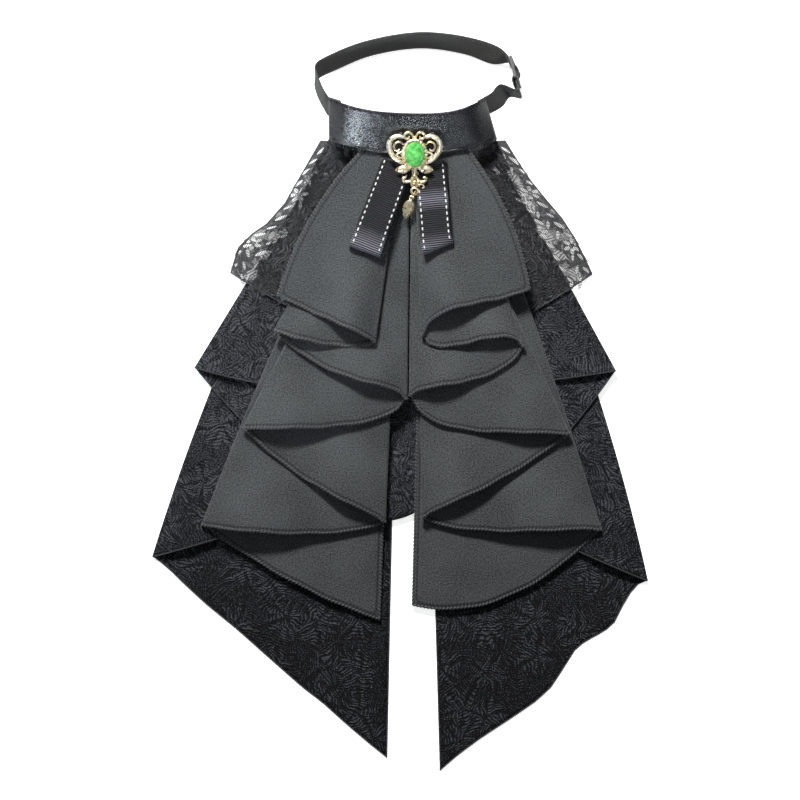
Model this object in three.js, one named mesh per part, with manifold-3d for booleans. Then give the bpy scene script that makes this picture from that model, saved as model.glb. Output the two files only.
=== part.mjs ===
import * as THREE from 'three';
import { mergeVertices } from 'three/addons/utils/BufferGeometryUtils.js';
import Module from 'manifold-3d';

// A jabot lying face up: collar, elastic neck strap, two chiffon cascades over folded lace,
// two ribbon loops and a brooch. Millimetres, +Y towards the neck, +Z up from the table,
// x = 0 at the middle of the collar and y = 0 at the collar's lower seam.

// Cloth
const clothThickness = 1.0;
const clothGap = 0.4;
const seamTuck = 4;
const clearance = 0.3;

// Steps of each folded sheet: down its fold lines, across a panel and round a bend
const laceSteps = { rows: 8, columns: 4, bend: 3 };
const yokeSteps = { rows: 7, columns: 7, bend: 0 };
const middleSteps = { rows: 6, columns: 2, bend: 0 };
const chiffonSteps = { rows: 7, columns: 4, bend: 3 };
const ribbonSteps = { rows: 4, columns: 6, bend: 5 };

// Collar
const collarHalf = 48;
const collarThickness = 2;
const collarSeamRise = 8;
const collarTopReach = 21.5;
const collarTopRise = 9.5;
const collarStand = 13.7;
const collarStandLoss = 2.7;
const collarEndDrop = 5;
const collarEndSlant = 7;
const collarLevelShare = 0.64;

// Chiffon cascades
const chiffonSpread = 120;
const chiffonDrop = 267;
const chiffonOpening = 2.2;

// Lace
const laceSpread = 148;
const laceDrop = 350;
const laceFullShare = 0.297;
const laceLevelShare = 0.143;
const yokeFall = 4;
const yokeFallLength = 26;
const laceHoleLength = 5;
const laceHoleWidth = 2.6;
const laceHoleRows = [0.3, 0.42, 0.54, 0.66, 0.78, 0.9];
const laceHoleColumns = [0.12, 0.27, 0.42];

// Neck strap
const neckHalf = 57;
const neckReach = 70;
const strapWidth = 12;
const strapThickness = 1.2;
const strapLap = 7;
const strapRest = 0.15;
const lapGap = 0.45;

// Slider on the strap
const sliderThickness = 1.6;
const sliderRail = 1.5;
const sliderSlot = 4.6;
const weaveGap = 0.51;

// Ribbon loops
const ribbonWidth = 17.5;
const ribbonLength = 51;
const ribbonTop = 6;
const ribbonLoopHeight = 3.6;

// Middle of each ribbon under the brooch and at its lower fold, shares of ribbonLength
const ribbons = [
  { name: 'left', top: -0.176, bottom: -0.543 },
  { name: 'right', top: 0.186, bottom: 0.267 },
];

// Brooch. backShare: where its back meets the collar above its middle, share of stoneLength.
// crystalShare: a crystal's radius as a share of its wing's wall.
const stoneWidth = 11;
const stoneLength = 14.2;
const stoneHeight = 4.2;
const broochPlate = 1.6;
const stemThickness = 1.2;
const bezelWall = 1.7;
const bezelHeight = 3.2;
const bezelInset = 0.2;
const crystalsOnWing = 9;
const crystalShare = 0.45;
const crownBead = { y: 0.72, radius: 0.07 };
const backShare = 0.95;
const broochLean = THREE.MathUtils.degToRad(8);
const broochX = 0.8;
const broochY = -1;
const ringRadius = 2.2;
const ringTurn = -0.5;
const ringShift = 0.44;
const eyeRadius = 1.5;
const eyeThickness = 0.7;
const pendantTurn = -0.3;
const pendantTilt = 0.12;
const ringWire = 0.35;
const pendantLength = 13;
const pendantWidth = 6.4;
const pendantThickness = 1.5;
const pendantBevel = 0.4;

// Fold lines of the chiffon, from the free outer edge to the free inner edge.
// top: place along the collar seam as a share of collarHalf. hemX: share of chiffonSpread.
// hemY: share of chiffonDrop below the seam. bow: how far the hem between the line before and
// this one hangs below a straight hem, share of chiffonDrop. bulge: outward curve of the line,
// share of chiffonSpread.
const chiffonLeft = [
  { top: -0.524, hemX: -0.643, hemY: 0.304, bow: 0, bulge: 0.057 },
  { top: -0.107, hemX: -0.176, hemY: 0.404, bow: 0.002, bulge: 0 },
  { top: -0.417, hemX: -0.662, hemY: 0.379, bow: 0.012, bulge: 0 },
  { top: -0.048, hemX: -0.033, hemY: 0.526, bow: 0.019, bulge: 0 },
  { top: -0.321, hemX: -0.81, hemY: 0.586, bow: 0.013, bulge: 0 },
  { top: -0.131, hemX: -0.129, hemY: 0.788, bow: 0.021, bulge: 0 },
  { top: -0.524, hemX: -1.01, hemY: 0.794, bow: 0.015, bulge: 0.024 },
  { top: -0.202, hemX: -0.157, hemY: 0.999, bow: 0.011, bulge: 0 },
];
const chiffonRight = [
  { top: 0.583, hemX: 0.557, hemY: 0.291, bow: 0, bulge: 0.052 },
  { top: 0.012, hemX: 0.037, hemY: 0.39, bow: 0.004, bulge: 0 },
  { top: 0.464, hemX: 0.529, hemY: 0.413, bow: 0.011, bulge: 0 },
  { top: -0.02, hemX: -0.02, hemY: 0.518, bow: 0.017, bulge: 0 },
  { top: 0.298, hemX: 0.748, hemY: 0.599, bow: 0.013, bulge: 0 },
  { top: 0.06, hemX: 0.038, hemY: 0.779, bow: 0.017, bulge: 0 },
  { top: 0.631, hemX: 0.9, hemY: 0.805, bow: 0.013, bulge: 0.024 },
  { top: 0.131, hemX: -0.005, hemY: 0.967, bow: 0.021, bulge: 0 },
];

// Fold lines of the lace under the chiffon, from its free inner edge to the tail's inner edge,
// with the same columns as shares of collarHalf, laceSpread and laceDrop.
const laceLeft = [
  { top: -0.25, hemX: -0.263, hemY: 0.395, bow: 0, bulge: 0 },
  { top: -0.917, hemX: -0.846, hemY: 0.349, bow: 0.006, bulge: 0 },
  { top: -0.298, hemX: -0.301, hemY: 0.565, bow: 0.016, bulge: 0 },
  { top: -0.976, hemX: -1.01, hemY: 0.658, bow: 0.004, bulge: 0.046 },
  { top: -0.155, hemX: -0.1, hemY: 0.988, bow: 0, bulge: 0 },
];
const laceRight = [
  { top: 0.202, hemX: 0.22, hemY: 0.385, bow: 0, bulge: 0 },
  { top: 0.893, hemX: 0.786, hemY: 0.354, bow: 0.002, bulge: 0 },
  { top: 0.25, hemX: 0.297, hemY: 0.581, bow: 0.016, bulge: 0 },
  { top: 0.964, hemX: 0.91, hemY: 0.697, bow: 0.004, bulge: 0.054 },
  { top: 0.107, hemX: 0.104, hemY: 1.009, bow: 0.01, bulge: 0 },
];

// Outer and inner edge of the short lace yoke leaves, same columns as the lace.
const yokeLeft = [
  { top: -1.1, hemX: -0.707, hemY: 0.194, bow: 0, bulge: 0 },
  { top: -0.417, hemX: -0.301, hemY: 0.287, bow: 0.004, bulge: 0 },
];
const yokeRight = [
  { top: 1.1, hemX: 0.695, hemY: 0.196, bow: 0, bulge: 0 },
  { top: 0.417, hemX: 0.297, hemY: 0.296, bow: 0.004, bulge: 0 },
];

// Left and right edge of the lace panel in the middle, same columns as the lace.
const laceMiddle = [
  { top: -0.13, hemX: -0.112, hemY: 0.6, bow: 0, bulge: 0 },
  { top: 0.09, hemX: 0.026, hemY: 0.582, bow: 0.004, bulge: 0 },
];

// Free run of the neck strap from the collar's left end round the back to the slider.
// across: lower edge as a share of neckHalf. along: lower edge as a share of neckReach.
// height: lower edge above the table as a share of strapWidth. leanX, leanY: how far the upper
// edge lies to the right and up from the lower edge, share of strapWidth.
const strapRun = [
  { across: -0.912, along: 0.393, height: 1.02, leanX: 0.23, leanY: 0.5 },
  { across: -0.965, along: 0.486, height: 0.62, leanX: 0.23, leanY: 0.42 },
  { across: -0.986, along: 0.569, height: 0.3, leanX: 0.12, leanY: 0.52 },
  { across: -0.944, along: 0.623, height: 0.06, leanX: -0.15, leanY: 0.66 },
  { across: -0.772, along: 0.693, height: 0, leanX: -0.19, leanY: 0.73 },
  { across: -0.439, along: 0.804, height: 0, leanX: -0.12, leanY: 0.7 },
  { across: 0.08, along: 0.87, height: 0, leanX: -0.03, leanY: 0.73 },
  { across: 0.526, along: 0.821, height: 0, leanX: 0.12, leanY: 0.78 },
  { across: 0.807, along: 0.741, height: 0.02, leanX: 0.2, leanY: 0.8 },
];

// Free run of the short strap end from the collar's right end to the slider, same columns.
const endRun = [
  { across: 0.895, along: 0.381, height: 1.08, leanX: -0.54, leanY: 0.62 },
  { across: 0.972, along: 0.46, height: 0.8, leanX: -0.5, leanY: 0.58 },
];

// Slider: its middle bar, the strap's direction through it and the strap's lean there.
const sliderMiddle = { across: 1.044, along: 0.636, height: 0.44 };
const sliderLean = { x: -0.2, y: 0.35 };
const sliderHeading = { x: -0.2, y: 0.95 };

const wasm = await Module();
wasm.setup();

function positionsOnly(geometry) {
  const bare = geometry.clone();
  bare.deleteAttribute('normal');
  bare.deleteAttribute('uv');
  return mergeVertices(bare, 1e-4);
}

function toSolid(geometry) {
  const merged = positionsOnly(geometry);
  const corners = [];
  for (let i = 0; i < merged.index.count; i += 3) {
    const [a, b, c] = [0, 1, 2].map((k) => merged.index.getX(i + k));
    if (a !== b && b !== c && c !== a) corners.push(a, b, c);
  }
  const vertProperties = new Float32Array(merged.attributes.position.array);
  const triVerts = new Uint32Array(corners);
  return new wasm.Manifold(new wasm.Mesh({ numProp: 3, vertProperties, triVerts }));
}

function toGeometry(solid) {
  const mesh = solid.getMesh();
  const geometry = new THREE.BufferGeometry();
  geometry.setAttribute('position', new THREE.BufferAttribute(mesh.vertProperties, 3));
  geometry.setIndex(new THREE.BufferAttribute(mesh.triVerts, 1));
  geometry.computeVertexNormals();
  return geometry;
}

function fuse(geometries) {
  return geometries.map(toSolid).reduce((whole, piece) => whole.add(piece));
}

// A closed body from a grid of { middle, offset }: its two skins lie at middle + offset and
// middle - offset, and a wall joins them round the border.
function shell(grid) {
  const rows = grid.length;
  const columns = grid[0].length;
  const skin = rows * columns;
  const positions = [];
  for (const sign of [1, -1]) {
    for (const cell of grid.flat()) {
      const corner = cell.middle.clone().addScaledVector(cell.offset, sign);
      positions.push(corner.x, corner.y, corner.z);
    }
  }
  const index = [];
  const quad = (a, b, c, d) => index.push(a, b, c, a, c, d);
  const upper = (r, c) => r * columns + c;
  const lower = (r, c) => skin + upper(r, c);
  for (let r = 0; r + 1 < rows; r += 1) {
    for (let c = 0; c + 1 < columns; c += 1) {
      quad(upper(r, c), upper(r + 1, c), upper(r + 1, c + 1), upper(r, c + 1));
      quad(lower(r, c), lower(r, c + 1), lower(r + 1, c + 1), lower(r + 1, c));
    }
  }
  const [lastRow, lastColumn] = [rows - 1, columns - 1];
  for (let r = 0; r < lastRow; r += 1) {
    quad(upper(r, 0), lower(r, 0), lower(r + 1, 0), upper(r + 1, 0));
    quad(upper(r + 1, lastColumn), lower(r + 1, lastColumn), lower(r, lastColumn), upper(r, lastColumn));
  }
  for (let c = 0; c < lastColumn; c += 1) {
    quad(upper(0, c + 1), lower(0, c + 1), lower(0, c), upper(0, c));
    quad(upper(lastRow, c), lower(lastRow, c), lower(lastRow, c + 1), upper(lastRow, c + 1));
  }
  return outwards(positions, index);
}

// The same body with its faces turned outwards.
function outwards(positions, index) {
  const corner = (i) => new THREE.Vector3().fromArray(positions, 3 * i);
  let volume = 0;
  for (let i = 0; i < index.length; i += 3) {
    volume += corner(index[i]).dot(corner(index[i + 1]).cross(corner(index[i + 2])));
  }
  const faces = volume < 0 ? [...index].reverse() : index;
  const geometry = new THREE.BufferGeometry();
  geometry.setAttribute('position', new THREE.Float32BufferAttribute(positions, 3));
  geometry.setIndex(faces);
  geometry.computeVertexNormals();
  return geometry;
}

// Collar seam, seen from above
function seamY(x) {
  return collarSeamRise * (x / collarHalf) ** 2;
}

// Fold lines, seen from above
function pointOnLine(line, v) {
  const along = new THREE.Vector2().subVectors(line.end, line.start).normalize();
  const point = new THREE.Vector2().lerpVectors(line.start, line.end, v);
  return point.addScaledVector(new THREE.Vector2(-along.y, along.x), line.bulge * 4 * v * (1 - v));
}

function lineXAt(line, y) {
  const v = THREE.MathUtils.clamp((line.start.y - y) / (line.start.y - line.end.y), 0, 1);
  return pointOnLine(line, v).x;
}

function linesFrom(table, spread, drop, side) {
  return table.map((row) => {
    const topX = row.top * collarHalf;
    const inside = THREE.MathUtils.clamp(topX, -collarHalf, collarHalf);
    const tuck = Math.abs(topX) > collarHalf ? 0 : seamTuck;
    return {
      start: new THREE.Vector2(topX, seamY(inside) + tuck),
      end: new THREE.Vector2(row.hemX * spread, -row.hemY * drop),
      bulge: row.bulge * spread * side,
    };
  });
}

// Layers of cloth lie on each other at one spacing. The lace has five of them as far down as
// laceFullShare and loses one with each further laceLevelShare, both shares of laceDrop.
const laceLevels = 5;
const chiffonLevels = 7;
const spacing = clothThickness + clothGap;

function laceHeight(level) {
  return clothThickness / 2 + level * spacing;
}

function lacePileHeight(y) {
  const beyond = Math.max(0, -y / laceDrop - laceFullShare);
  return laceHeight(laceLevels - beyond / laceLevelShare);
}

// The chiffon's layers spread apart towards their hems.
function chiffonHeight(level, y) {
  const down = Math.max(0, -y / chiffonDrop);
  return lacePileHeight(y) + level * (spacing + chiffonOpening * down);
}

// Patches are the flat stretches of cloth between two fold lines.
function hemSag(patch, s) {
  return patch.bow * 4 * s * (1 - s);
}

function patchesFrom(table, lines, drop, heights) {
  return heights.map((height, i) => ({
    from: lines[i],
    to: lines[i + 1],
    height,
    bow: table[i + 1].bow * drop,
  }));
}

// A sheet folded to and fro, from its top patch to its lowest one, with a round bend at each
// fold line between two patches.
function foldedSheet(patches, { rows, columns, bend }) {
  const half = clothThickness / 2;
  const grid = [];
  for (let r = 0; r <= rows; r += 1) {
    const v = r / rows;
    const bends = patches.slice(1).map((patch, i) => {
      const outline = pointOnLine(patch.from, v);
      const before = pointOnLine(patches[i].from, v);
      const along = new THREE.Vector2().subVectors(patch.from.end, patch.from.start).normalize();
      const out = new THREE.Vector2(-along.y, along.x);
      if (out.dot(outline.clone().sub(before)) < 0) out.negate();
      const upper = patches[i].height(outline.x, outline.y);
      const lower = patch.height(outline.x, outline.y);
      const middle = outline.addScaledVector(out, -(upper - lower) / 2 - half);
      return { out, middle };
    });
    const row = [];
    patches.forEach((patch, i) => {
      const sign = i % 2 === 0 ? 1 : -1;
      const start = i === 0 ? pointOnLine(patch.from, v) : bends[i - 1].middle;
      const stop = i === patches.length - 1 ? pointOnLine(patch.to, v) : bends[i].middle;
      for (let c = 0; c <= columns; c += 1) {
        const s = c / columns;
        const point = start.clone().lerp(stop, s);
        const y = point.y - hemSag(patch, s) * v ** 3;
        const middle = new THREE.Vector3(point.x, y, patch.height(point.x, y));
        row.push({ middle, offset: new THREE.Vector3(0, 0, sign * half) });
      }
      if (i === patches.length - 1) return;
      const { out, middle } = bends[i];
      const upper = patch.height(middle.x, middle.y);
      const lower = patches[i + 1].height(middle.x, middle.y);
      const radius = (upper - lower) / 2;
      for (let b = 1; b < bend; b += 1) {
        const angle = Math.PI * (0.5 - b / bend);
        const outline = out.clone().multiplyScalar(Math.cos(angle));
        const radial = new THREE.Vector3(outline.x, outline.y, Math.sin(angle));
        const centre = new THREE.Vector3(middle.x, middle.y, (upper + lower) / 2);
        const offset = radial.clone().multiplyScalar(sign * half);
        row.push({ middle: centre.addScaledVector(radial, radius), offset });
      }
    });
    grid.push(row);
  }
  return shell(grid);
}

// Lace
function laceLines(table, side) {
  return linesFrom(table, laceSpread, laceDrop, side);
}

function lacePatches(table, side) {
  const heights = [3, 2, 1, 0].map((level) => () => laceHeight(level));
  return patchesFrom(table, laceLines(table, side), laceDrop, heights);
}

// The yoke leaf lies on the lace below and falls to the table beyond that lace's outer fold.
function yokePatches(table, laceTable, side) {
  const fold = laceLines(laceTable, side)[1];
  const height = (x, y) => {
    const beyond = side * (x - lineXAt(fold, y));
    const fallen = THREE.MathUtils.smoothstep(beyond, clothThickness, yokeFallLength);
    return laceHeight(laceLevels - 1) - yokeFall * fallen;
  };
  return patchesFrom(table, laceLines(table, side), laceDrop, [height]);
}

function middlePatches(table) {
  const height = (x, y) => lacePileHeight(y) - spacing;
  return patchesFrom(table, laceLines(table, 1), laceDrop, [height]);
}

// The yoke's open pattern: long holes in rows down the leaf and columns across it, at those
// shares of its length and width, each turned a little further than the last.
function laceHoles(patch) {
  const holes = [];
  for (const v of laceHoleRows) {
    for (const s of laceHoleColumns) {
      const left = pointOnLine(patch.from, v);
      const point = left.lerp(pointOnLine(patch.to, v), s);
      const leaf = new THREE.Shape();
      leaf.absellipse(0, 0, laceHoleLength / 2, laceHoleWidth / 2, 0, 2 * Math.PI);
      const depth = laceLevels * spacing;
      const hole = new THREE.ExtrudeGeometry(leaf, { depth, bevelEnabled: false, curveSegments: 4 });
      hole.rotateZ(Math.PI * (v * 3 + s * 2));
      hole.translate(point.x, point.y, patch.height(point.x, point.y) - depth / 2);
      holes.push(hole);
    }
  }
  return holes;
}

function laceYoke(patches) {
  const leaf = toSolid(foldedSheet(patches, yokeSteps));
  return toGeometry(laceHoles(patches[0]).reduce((rest, hole) => rest.subtract(toSolid(hole)), leaf));
}

// Chiffon
function chiffonPatches(table, side) {
  const lines = linesFrom(table, chiffonSpread, chiffonDrop, side);
  const heights = table.slice(1).map((row, i) => (x, y) => chiffonHeight(chiffonLevels - 1 - i, y));
  return patchesFrom(table, lines, chiffonDrop, heights);
}

// Ribbon loops: the front runs down from the brooch, turns under at the bottom and runs back up.
function ribbonPatches(ribbon) {
  const middleTop = new THREE.Vector2(ribbon.top * ribbonLength, -ribbonTop);
  const middleBottom = new THREE.Vector2(ribbon.bottom * ribbonLength, -ribbonTop - ribbonLength);
  const along = middleBottom.clone().sub(middleTop).normalize();
  const side = new THREE.Vector2(-along.y, along.x).multiplyScalar(ribbonWidth / 2);
  const lineAt = (middle) => ({ start: middle.clone().sub(side), end: middle.clone().add(side), bulge: 0 });
  const top = lineAt(middleTop);
  const bottom = lineAt(middleBottom);
  const backHeight = (x, y) => chiffonHeight(chiffonLevels, y);
  const frontHeight = (x, y) => {
    const down = THREE.MathUtils.clamp((-y - ribbonTop) / ribbonLength, 0, 1);
    return backHeight(x, y) + THREE.MathUtils.lerp(spacing, ribbonLoopHeight, Math.sqrt(down));
  };
  return [
    { from: top, to: bottom, height: frontHeight, bow: 0 },
    { from: bottom, to: top, height: backHeight, bow: 0 },
  ];
}

// Collar: a band that stands on the gathered cloth along the seam and leans back to the neck.
// It is level along collarLevelShare of its half length and drops towards its ends beyond that.
function collarSeat(share) {
  const clothTop = chiffonHeight(chiffonLevels - 1, 0) + clothThickness / 2;
  const beyondCloth = Math.max(0, Math.abs(share) - collarLevelShare) / (1 - collarLevelShare);
  return clothTop + clearance - collarEndDrop * beyondCloth ** 2;
}

function collarPoint(share, up, out) {
  const x = share * collarHalf;
  const reach = collarTopReach + collarTopRise * share ** 2 - seamY(x);
  const stand = collarStand - collarStandLoss * share ** 2;
  const height = Math.hypot(reach, stand);
  const rise = new THREE.Vector3(0, reach, stand).divideScalar(height);
  const normal = new THREE.Vector3(0, -stand, reach).divideScalar(height);
  const foot = new THREE.Vector3(x, seamY(x), collarSeat(share) + collarThickness / 2);
  foot.x -= collarEndSlant * up * Math.max(0, share) ** 3;
  return {
    middle: foot.addScaledVector(rise, up * height).addScaledVector(normal, out),
    normal,
    rise,
  };
}

function collarBand() {
  const stations = 20;
  const edgeShare = 0.12;
  const heights = [0, edgeShare, 0.5, 1 - edgeShare, 1];
  const grid = [];
  for (let i = 0; i <= stations; i += 1) {
    const share = (2 * i) / stations - 1;
    grid.push(heights.map((up) => {
      const { middle, normal } = collarPoint(share, up, 0);
      return { middle, offset: normal.multiplyScalar(collarThickness / 2) };
    }));
  }
  return shell(grid);
}

// Neck strap stations: lower and upper edge of the band.
function strapStation(row) {
  const height = row.height * strapWidth + strapThickness / 2 + strapRest;
  const lower = new THREE.Vector3(row.across * neckHalf, row.along * neckReach, height);
  const leanZ = Math.sqrt(1 - row.leanX ** 2 - row.leanY ** 2);
  const lean = new THREE.Vector3(row.leanX, row.leanY, leanZ);
  return { lower, upper: lower.clone().addScaledVector(lean, strapWidth) };
}

// The strap's end behind the collar, under its neck-side half.
function lapStation(share) {
  const out = -(collarThickness + strapThickness) / 2 - lapGap;
  const { middle, rise } = collarPoint(share, 1, out);
  return { lower: middle.clone().addScaledVector(rise, -strapWidth), upper: middle };
}

// Slider frame: heading along the strap, width across it and out away from the neck.
function sliderFrame() {
  const leanZ = Math.sqrt(1 - sliderLean.x ** 2 - sliderLean.y ** 2);
  const width = new THREE.Vector3(sliderLean.x, sliderLean.y, leanZ);
  const heading = new THREE.Vector3(sliderHeading.x, sliderHeading.y, 0);
  heading.setZ(-(heading.x * width.x + heading.y * width.y) / width.z).normalize();
  const out = new THREE.Vector3().crossVectors(heading, width).normalize();
  const { across, along, height } = sliderMiddle;
  const lower = new THREE.Vector3(across * neckHalf, along * neckReach, height * strapWidth);
  return { heading, width, out, lower };
}

function sliderStation(ahead, outward) {
  const { heading, width, out, lower } = sliderFrame();
  const edge = lower.clone().addScaledVector(heading, ahead).addScaledVector(out, outward);
  return { lower: edge, upper: edge.clone().addScaledVector(width, strapWidth) };
}

const sliderPitch = sliderRail + sliderSlot;
const weave = (sliderThickness + strapThickness) / 2 + weaveGap;

function strapBand(stations, steps) {
  const curves = ['lower', 'upper'].map((edge) => {
    return new THREE.CatmullRomCurve3(stations.map((station) => station[edge]));
  });
  const grid = [];
  for (let i = 0; i <= steps; i += 1) {
    const t = i / steps;
    const [lower, upper] = curves.map((curve) => curve.getPoint(t));
    const forward = curves[0].getTangent(t).add(curves[1].getTangent(t));
    const across = upper.clone().sub(lower);
    const normal = new THREE.Vector3().crossVectors(forward, across).normalize();
    const offset = normal.multiplyScalar(strapThickness / 2);
    grid.push([{ middle: lower, offset }, { middle: upper, offset }]);
  }
  return shell(grid);
}

function neckStrap() {
  const behind = [strapLap, strapLap / 2, 0].map((lap) => lapStation(-1 + lap / collarHalf));
  const run = strapRun.map(strapStation);
  const woven = [
    sliderStation(1.5 * sliderPitch, -weave),
    sliderStation(sliderPitch, -weave),
    sliderStation(sliderPitch / 2, 0),
    sliderStation(0, weave),
    sliderStation(-sliderPitch / 2, 0),
    sliderStation(-sliderPitch, -weave),
    sliderStation(-sliderPitch - strapLap / 2, -weave),
  ];
  return strapBand([...behind, ...run, ...woven], 84);
}

function strapEnd() {
  const behind = [strapLap, strapLap / 2, 0].map((lap) => lapStation(1 - lap / collarHalf));
  const over = strapThickness + clearance - weave;
  const start = sliderPitch + sliderRail / 2 + clearance;
  const ends = [strapLap, strapLap / 2, 0].map((lap) => sliderStation(-start - lap, over));
  return strapBand([...behind, ...endRun.map(strapStation), ...ends], 24);
}

function sliderPlate() {
  const { heading, width, out, lower } = sliderFrame();
  const slotWidth = strapWidth + 4 * clearance;
  const plateLength = 2 * sliderPitch + sliderRail;
  let plate = toSolid(new THREE.BoxGeometry(plateLength, slotWidth + 2 * sliderRail, sliderThickness));
  for (const side of [-1, 1]) {
    const slot = new THREE.BoxGeometry(sliderSlot, slotWidth, 2 * sliderThickness);
    slot.translate((side * sliderPitch) / 2, 0, 0);
    plate = plate.subtract(toSolid(slot));
  }
  const geometry = toGeometry(plate);
  geometry.translate(0, strapWidth / 2, 0);
  geometry.applyMatrix4(new THREE.Matrix4().makeBasis(heading, width, out).setPosition(lower));
  return geometry;
}

// Brooch
const stoneSegments = 16;

function ellipseShape(width, length, x = 0, y = 0, turn = 0) {
  const shape = new THREE.Shape();
  shape.absellipse(x, y, width / 2, length / 2, 0, 2 * Math.PI, false, turn);
  return shape;
}

function plateRing(width, length, wall, x, y, turn, depth = broochPlate) {
  const shape = ellipseShape(width, length, x, y, turn);
  shape.holes.push(ellipseShape(width - 2 * wall, length - 2 * wall, x, y, turn));
  return new THREE.ExtrudeGeometry(shape, { depth, bevelEnabled: false, curveSegments: 8 });
}

function dome(radius, x, y, z) {
  const bead = new THREE.SphereGeometry(radius, 6, 4);
  bead.rotateX(Math.PI / 2);
  bead.translate(x, y, z);
  return bead;
}

function leafPlate(width, length, x, y, turn, depth = broochPlate) {
  const shape = new THREE.Shape();
  shape.moveTo(0, -length / 2);
  shape.quadraticCurveTo(width, 0, 0, length / 2);
  shape.quadraticCurveTo(-width, 0, 0, -length / 2);
  const leaf = new THREE.ExtrudeGeometry(shape, { depth, bevelEnabled: false, curveSegments: 5 });
  leaf.rotateZ(turn);
  leaf.translate(x, y, 0);
  return leaf;
}

// Scroll rings of the cast plate round the stone. x, y: centre, width, length: outer size and
// wall: band width, all as shares of stoneLength. turn: degrees.
const scrolls = [
  { x: -0.68, y: 0.17, width: 0.86, length: 1.12, wall: 0.2, turn: 14 },
  { x: 0.72, y: 0.17, width: 0.82, length: 1.12, wall: 0.2, turn: -14 },
  { x: -0.25, y: 0.72, width: 0.4, length: 0.46, wall: 0.1, turn: 12 },
  { x: 0.25, y: 0.72, width: 0.4, length: 0.46, wall: 0.1, turn: -12 },
  { x: -0.24, y: -0.9, width: 0.5, length: 0.38, wall: 0.1, turn: 20 },
  { x: 0.24, y: -0.9, width: 0.5, length: 0.38, wall: 0.1, turn: -20 },
];

// Leaves of the cast plate, same columns.
const leaves = [
  { x: -0.45, y: -0.64, width: 0.26, length: 0.75, turn: -50 },
  { x: 0.45, y: -0.64, width: 0.26, length: 0.75, turn: 50 },
  { x: 0, y: -0.98, width: 0.26, length: 0.84, turn: 0 },
];

const stemRing = { y: -1.48, width: 0.34, wall: 0.085 };

// A row of those tables in millimetres and radians.
function broochSizes(row) {
  const columns = ['x', 'y', 'width', 'length', 'wall'];
  const [x, y, width, length, wall] = columns.map((key) => row[key] * stoneLength);
  return { x, y, width, length, wall, turn: THREE.MathUtils.degToRad(row.turn) };
}

function broochFrame() {
  const pieces = [];
  for (const row of scrolls.map(broochSizes)) {
    pieces.push(plateRing(row.width, row.length, row.wall, row.x, row.y, row.turn));
  }
  for (const row of leaves.map(broochSizes)) {
    pieces.push(leafPlate(row.width, row.length, row.x, row.y, row.turn));
  }
  const stem = broochSizes({ ...stemRing, x: 0, length: stemRing.width, turn: 0 });
  pieces.push(plateRing(stem.width, stem.length, stem.wall, stem.x, stem.y, stem.turn, stemThickness));
  const bezelWidth = stoneWidth + 2 * (bezelWall + clearance);
  const bezelLength = stoneLength + 2 * (bezelWall + clearance);
  const floor = ellipseShape(bezelWidth - 2 * bezelInset, bezelLength - 2 * bezelInset);
  const depth = broochPlate;
  pieces.push(new THREE.ExtrudeGeometry(floor, { depth, bevelEnabled: false, curveSegments: 8 }));
  pieces.push(plateRing(bezelWidth, bezelLength, bezelWall, 0, 0, 0, bezelHeight));
  for (const wing of scrolls.slice(0, 2).map(broochSizes)) {
    for (let i = 0; i < crystalsOnWing; i += 1) {
      const angle = (2 * Math.PI * i) / crystalsOnWing;
      const place = new THREE.Vector2(Math.cos(angle), Math.sin(angle));
      place.multiply(new THREE.Vector2(wing.width - wing.wall, wing.length - wing.wall)).divideScalar(2);
      place.rotateAround(new THREE.Vector2(), wing.turn).add(new THREE.Vector2(wing.x, wing.y));
      pieces.push(dome(crystalShare * wing.wall, place.x, place.y, broochPlate));
    }
  }
  pieces.push(dome(crownBead.radius * stoneLength, 0, crownBead.y * stoneLength, broochPlate / 2));
  return fuse(pieces);
}

// Half profile of the cut stone. out: share of its half length. up: share of its height.
const stoneProfile = [
  { out: 0, up: 0 },
  { out: 0.6, up: 0 },
  { out: 1, up: 0.32 },
  { out: 1, up: 0.4 },
  { out: 0.8, up: 0.76 },
  { out: 0.52, up: 1 },
  { out: 0, up: 1 },
];

function broochStone() {
  const profile = stoneProfile.map(({ out, up }) => {
    return new THREE.Vector2((out * stoneLength) / 2, up * stoneHeight);
  });
  const stone = new THREE.LatheGeometry(profile, stoneSegments);
  stone.rotateX(Math.PI / 2);
  stone.scale(stoneWidth / stoneLength, 1, 1);
  stone.translate(0, 0, broochPlate + clearance);
  return stone;
}

// Height of the brooch's middle: the top of its back lies on the collar.
function broochHeight() {
  const reach = backShare * stoneLength;
  const { middle, normal } = collarPoint(broochX / collarHalf, 0.5, collarThickness / 2 + clearance);
  const slope = -normal.y / normal.z;
  const contactY = broochY + reach * Math.cos(broochLean);
  return middle.z + (contactY - middle.y) * slope - reach * Math.sin(broochLean);
}

// The ring stands upright: it passes down through the stem's hole and up through the pendant's eye.
function jumpRing() {
  const ring = new THREE.TorusGeometry(ringRadius, ringWire, 6, 14);
  ring.rotateY(Math.PI / 2);
  return ring;
}

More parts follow.
